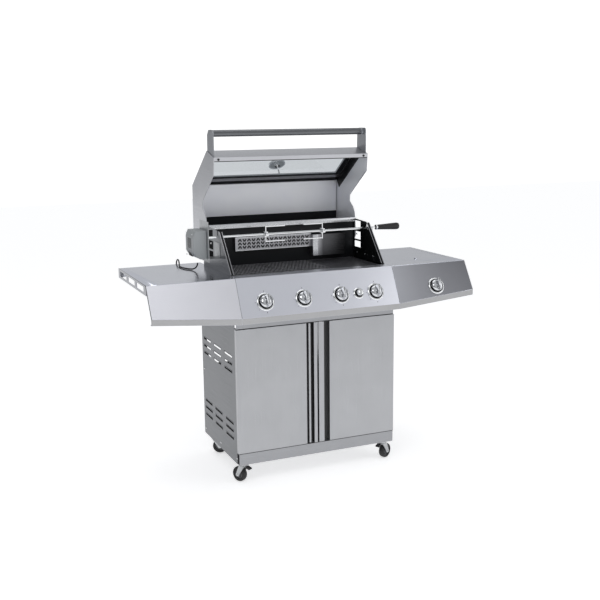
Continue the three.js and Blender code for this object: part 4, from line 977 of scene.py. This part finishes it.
fasciaFrame = frameAt(joints["knob_one_turn"]["pos_m"], joints["knob_one_turn"]["axis"])
seam = {"knobAt": -247, "x": 357.2, "down": -61.9, "up": 108, "width": 1.1}
middle = (seam["up"] + seam["down"]) / 2
seams = [slab(fasciaFrame, seam["width"], seam["up"] - seam["down"] - 1, 0.3, 0.4, 0.1,
              (side * seam["x"] - seam["knobAt"], middle), 0.02) for side, name in sides]
addMesh("panel_seams", *merged(*seams), "grill", "printInk")
print("cabinet ready")


# The shelf fascias and their edges.
shelf = {"start": 358.4, "end": 724.0, "top": (-223.2, 879.2), "foot": (-298.4, 727.7), "rise": 32,
         "run": 367, "bend": 357.6, "out": 0.7, "depth": 0.65, "across": 25, "down": 9}
fasciaOut = (0, -0.883, 0.469)
lipOut = (0, -1, 0)
lipDepth = 0.35


def addFascia(side, name, look):
    # the shelf's twisted front: place = top edge + t * (foot - top edge) at every x, where the foot rises
    # steadily towards the shelf's end; the skin stands a little out from the sheet
    across, down = shelf["across"], shelf["down"]
    x = np.linspace(shelf["start"], shelf["end"], across)
    t = np.linspace(0.012, 0.996, down)
    rise = shelf["rise"] * (x - shelf["bend"]) / shelf["run"]
    gx, gt = np.meshgrid(x, t, indexing="ij")
    gy = shelf["top"][0] + gt * (shelf["foot"][0] - shelf["top"][0])
    gz = shelf["top"][1] + gt * (shelf["foot"][1] + rise[:, None] - shelf["top"][1])
    front = np.stack([side * gx, gy, gz], -1) + np.array(fasciaOut) * shelf["out"]
    back = front - np.array(fasciaOut) * shelf["depth"]
    grid = np.concatenate([front.reshape(-1, 3), back.reshape(-1, 3)])
    count = across * down
    i, j = np.meshgrid(np.arange(across - 1), np.arange(down - 1), indexing="ij")
    quads = np.stack([i * down + j, (i + 1) * down + j, (i + 1) * down + j + 1, i * down + j + 1], -1)
    faces = [tuple(q) for q in quads.reshape(-1, 4)] + [tuple(count + q[::-1]) for q in quads.reshape(-1, 4)]
    border = ([(k, 0) for k in range(across)] + [(across - 1, k) for k in range(1, down)]
              + [(k, down - 1) for k in range(across - 2, -1, -1)] + [(0, k) for k in range(down - 2, 0, -1)])
    rim = [a * down + b for a, b in border]
    faces += [(a, count + a, count + b, b) for a, b in zip(rim, rim[1:] + rim[:1])]
    if side > 0:
        faces = [face[::-1] for face in faces]
    facesOut(addMesh("fascia_" + name, placeIn(cabinetFrame, grid), faces, "grill", look, 40))


def addPlate(name, corners, outward, depth, look):
    # a thin plate on a face with straight edges: its corners, and the same corners moved outwards
    near = np.array(corners, float)
    far = near + np.array(outward, float) * depth
    vertices = placeIn(cabinetFrame, np.vstack([near, far]))
    facesOut(addMesh(name, vertices, ringFaces(2, len(near)), "grill", look))


# the lips carry painted shade: a darker copy of the steel than the sloping faces above them
lipY = -298.45
panelLip = [(-356.8, lipY, 703.6), (356.8, lipY, 703.6), (356.8, lipY, 727.2), (-356.8, lipY, 727.2)]
addPlate("panel_lip", panelLip, lipOut, lipDepth, "lipSteel")
for side, name in sides:
    inner, outer = side * 358.2, side * 724.2
    shelfLip = [(inner, lipY, 703.7), (outer, lipY, 735.6), (outer, lipY, 759.2), (inner, lipY, 727.3)]
    addPlate("shelf_lip_" + name, shelfLip, lipOut, lipDepth, "lipSteel")
    # painted shade: a dark strip along each fascia's end edge
    endEdge = [(outer, -223.4, 879.4), (outer, -298.3, 759.6), (outer - side * 2.2, -298.3, 759.4),
               (outer - side * 2.2, -223.4, 879.4)]
    addPlate("fascia_edge_" + name, endEdge, fasciaOut, 1.0, "trimSteel")
for side, name in sides:
    addFascia(side, name, name + "Fascia")
print("fascias ready")

# The casters.
tyreProfile = [[22, -12], [27, -12], [30.5, -10.6], [32.3, -7], [32.5, 0], [32.3, 7], [30.5, 10.6], [27, 12],
               [22, 12]]
hubProfile = [[4.4, -12], [9, -12], [10, -10], [11, -6.5], [20, -5.5], [22.4, -9], [22.4, 9], [20, 5.5],
              [11, 6.5], [10, 10], [9, 12], [4.4, 12]]
innerNut = [[pole, -17.6], [5.6, -17.6], [6.2, -17], [6.2, -14.8], [pole, -14.8]]
outerNut = [[pole, 14.8], [6.2, 14.8], [6.2, 17], [5.6, 17.6], [pole, 17.6]]
spokeCount = 6
for corner in ("front_left", "front_right", "rear_left", "rear_right"):
    wheel = joints["wheel_roll_" + corner]
    axle = frameAt(wheel["pos_m"], wheel["axis"])
    rolling = "wheel_" + corner
    tyre = addMesh("tyre_" + corner, *lathe(tyreProfile, axle, 48, True), rolling, "blackRubber", 50)
    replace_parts(tyre, "caster_wheel_" + corner)
    turns = [axle @ Matrix.Rotation(math.radians(360 / spokeCount * i), 4, "Z") for i in range(spokeCount)]
    spokes = [slab(turn, 13, 3.4, 17, 1.5, 0.5, (15.5, 0), -8.5) for turn in turns]
    hub = merged(lathe(hubProfile, axle, 40, True), *spokes)
    addMesh("hub_" + corner, *hub, rolling, "hubPlastic", 35)
    nuts = merged(lathe(innerNut, axle, 6), lathe(outerNut, axle, 6))
    addMesh("axle_nuts_" + corner, *nuts, "swivel_" + corner, "brightChrome")
print("casters ready")

# The spit's grip and thumb screws, and the motor's vents and screws.
spitHeight = 1023
spitY = joints["spit_turn"]["pos_m"][1] * 1000 - rowShift
gripStart = 394.3
gripFrame = frameAt(row(gripStart, spitY, spitHeight), (1, 0, 0))
gripProfile = [[pole, 0], [9.6, 0], [10.6, 1], [10.9, 9], [10.2, 10.4], [10.2, 12], [11, 13.4], [12.6, 45],
               [14.6, 85], [15.5, 104], [15.2, 111], [13.2, 116.6], [9, 119.2], [pole, 120]]
grip = addMesh("grip_handle", *lathe(gripProfile, gripFrame, 48), "spit", "blackPlastic", 50)
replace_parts(grip, "spit_grip")
ferruleProfile = [[9.9, 1.2], [11.3, 1.2], [11.6, 2], [11.6, 8], [11.3, 8.8], [9.9, 8.8]]
addMesh("grip_ferrule", *lathe(ferruleProfile, gripFrame, 40, True), "spit", "brightChrome")
thumbProfile = [[pole, -1], [3, -1], [3, 5], [7.2, 5.4], [7.8, 6.4], [7.8, 12], [7.0, 13], [pole, 13.4]]
forks = (("left", -137), ("right", 130))
for name, x in forks:
    place = frameAt(row(x, spitY - 10, spitHeight), (0, -1, 0))
    addMesh("thumb_screw_" + name, *lathe(thumbProfile, place, 12), "spit", "brightChrome", 20)
motor = {"x": -471.3, "y": 20, "z": 997, "vents": range(-24, 25, 8),
         "screws": ((-22, 1043), (62, 1043), (62, 951))}
motorFace = frameAt(row(motor["x"], motor["y"], motor["z"]), (-1, 0, 0))
# the vents are flat black strips: painted shade standing for the slots' dark insides
vents = [slab(motorFace, 3, 44, 0.5, 1.4, 0.2, (offset, 6), 0.02) for offset in motor["vents"]]
addMesh("motor_vents", *merged(*vents), "grill", "blackPlastic")
motorScrew = [[pole, -0.5], [3.4, -0.5], [3.4, 0.6], [2.2, 1.5], [pole, 1.7]]
places = [frameAt(row(motor["x"], y, z), (-1, 0, 0)) for y, z in motor["screws"]]
addScrews("motor_screws", motorScrew, places, 16)
print("spit ready")
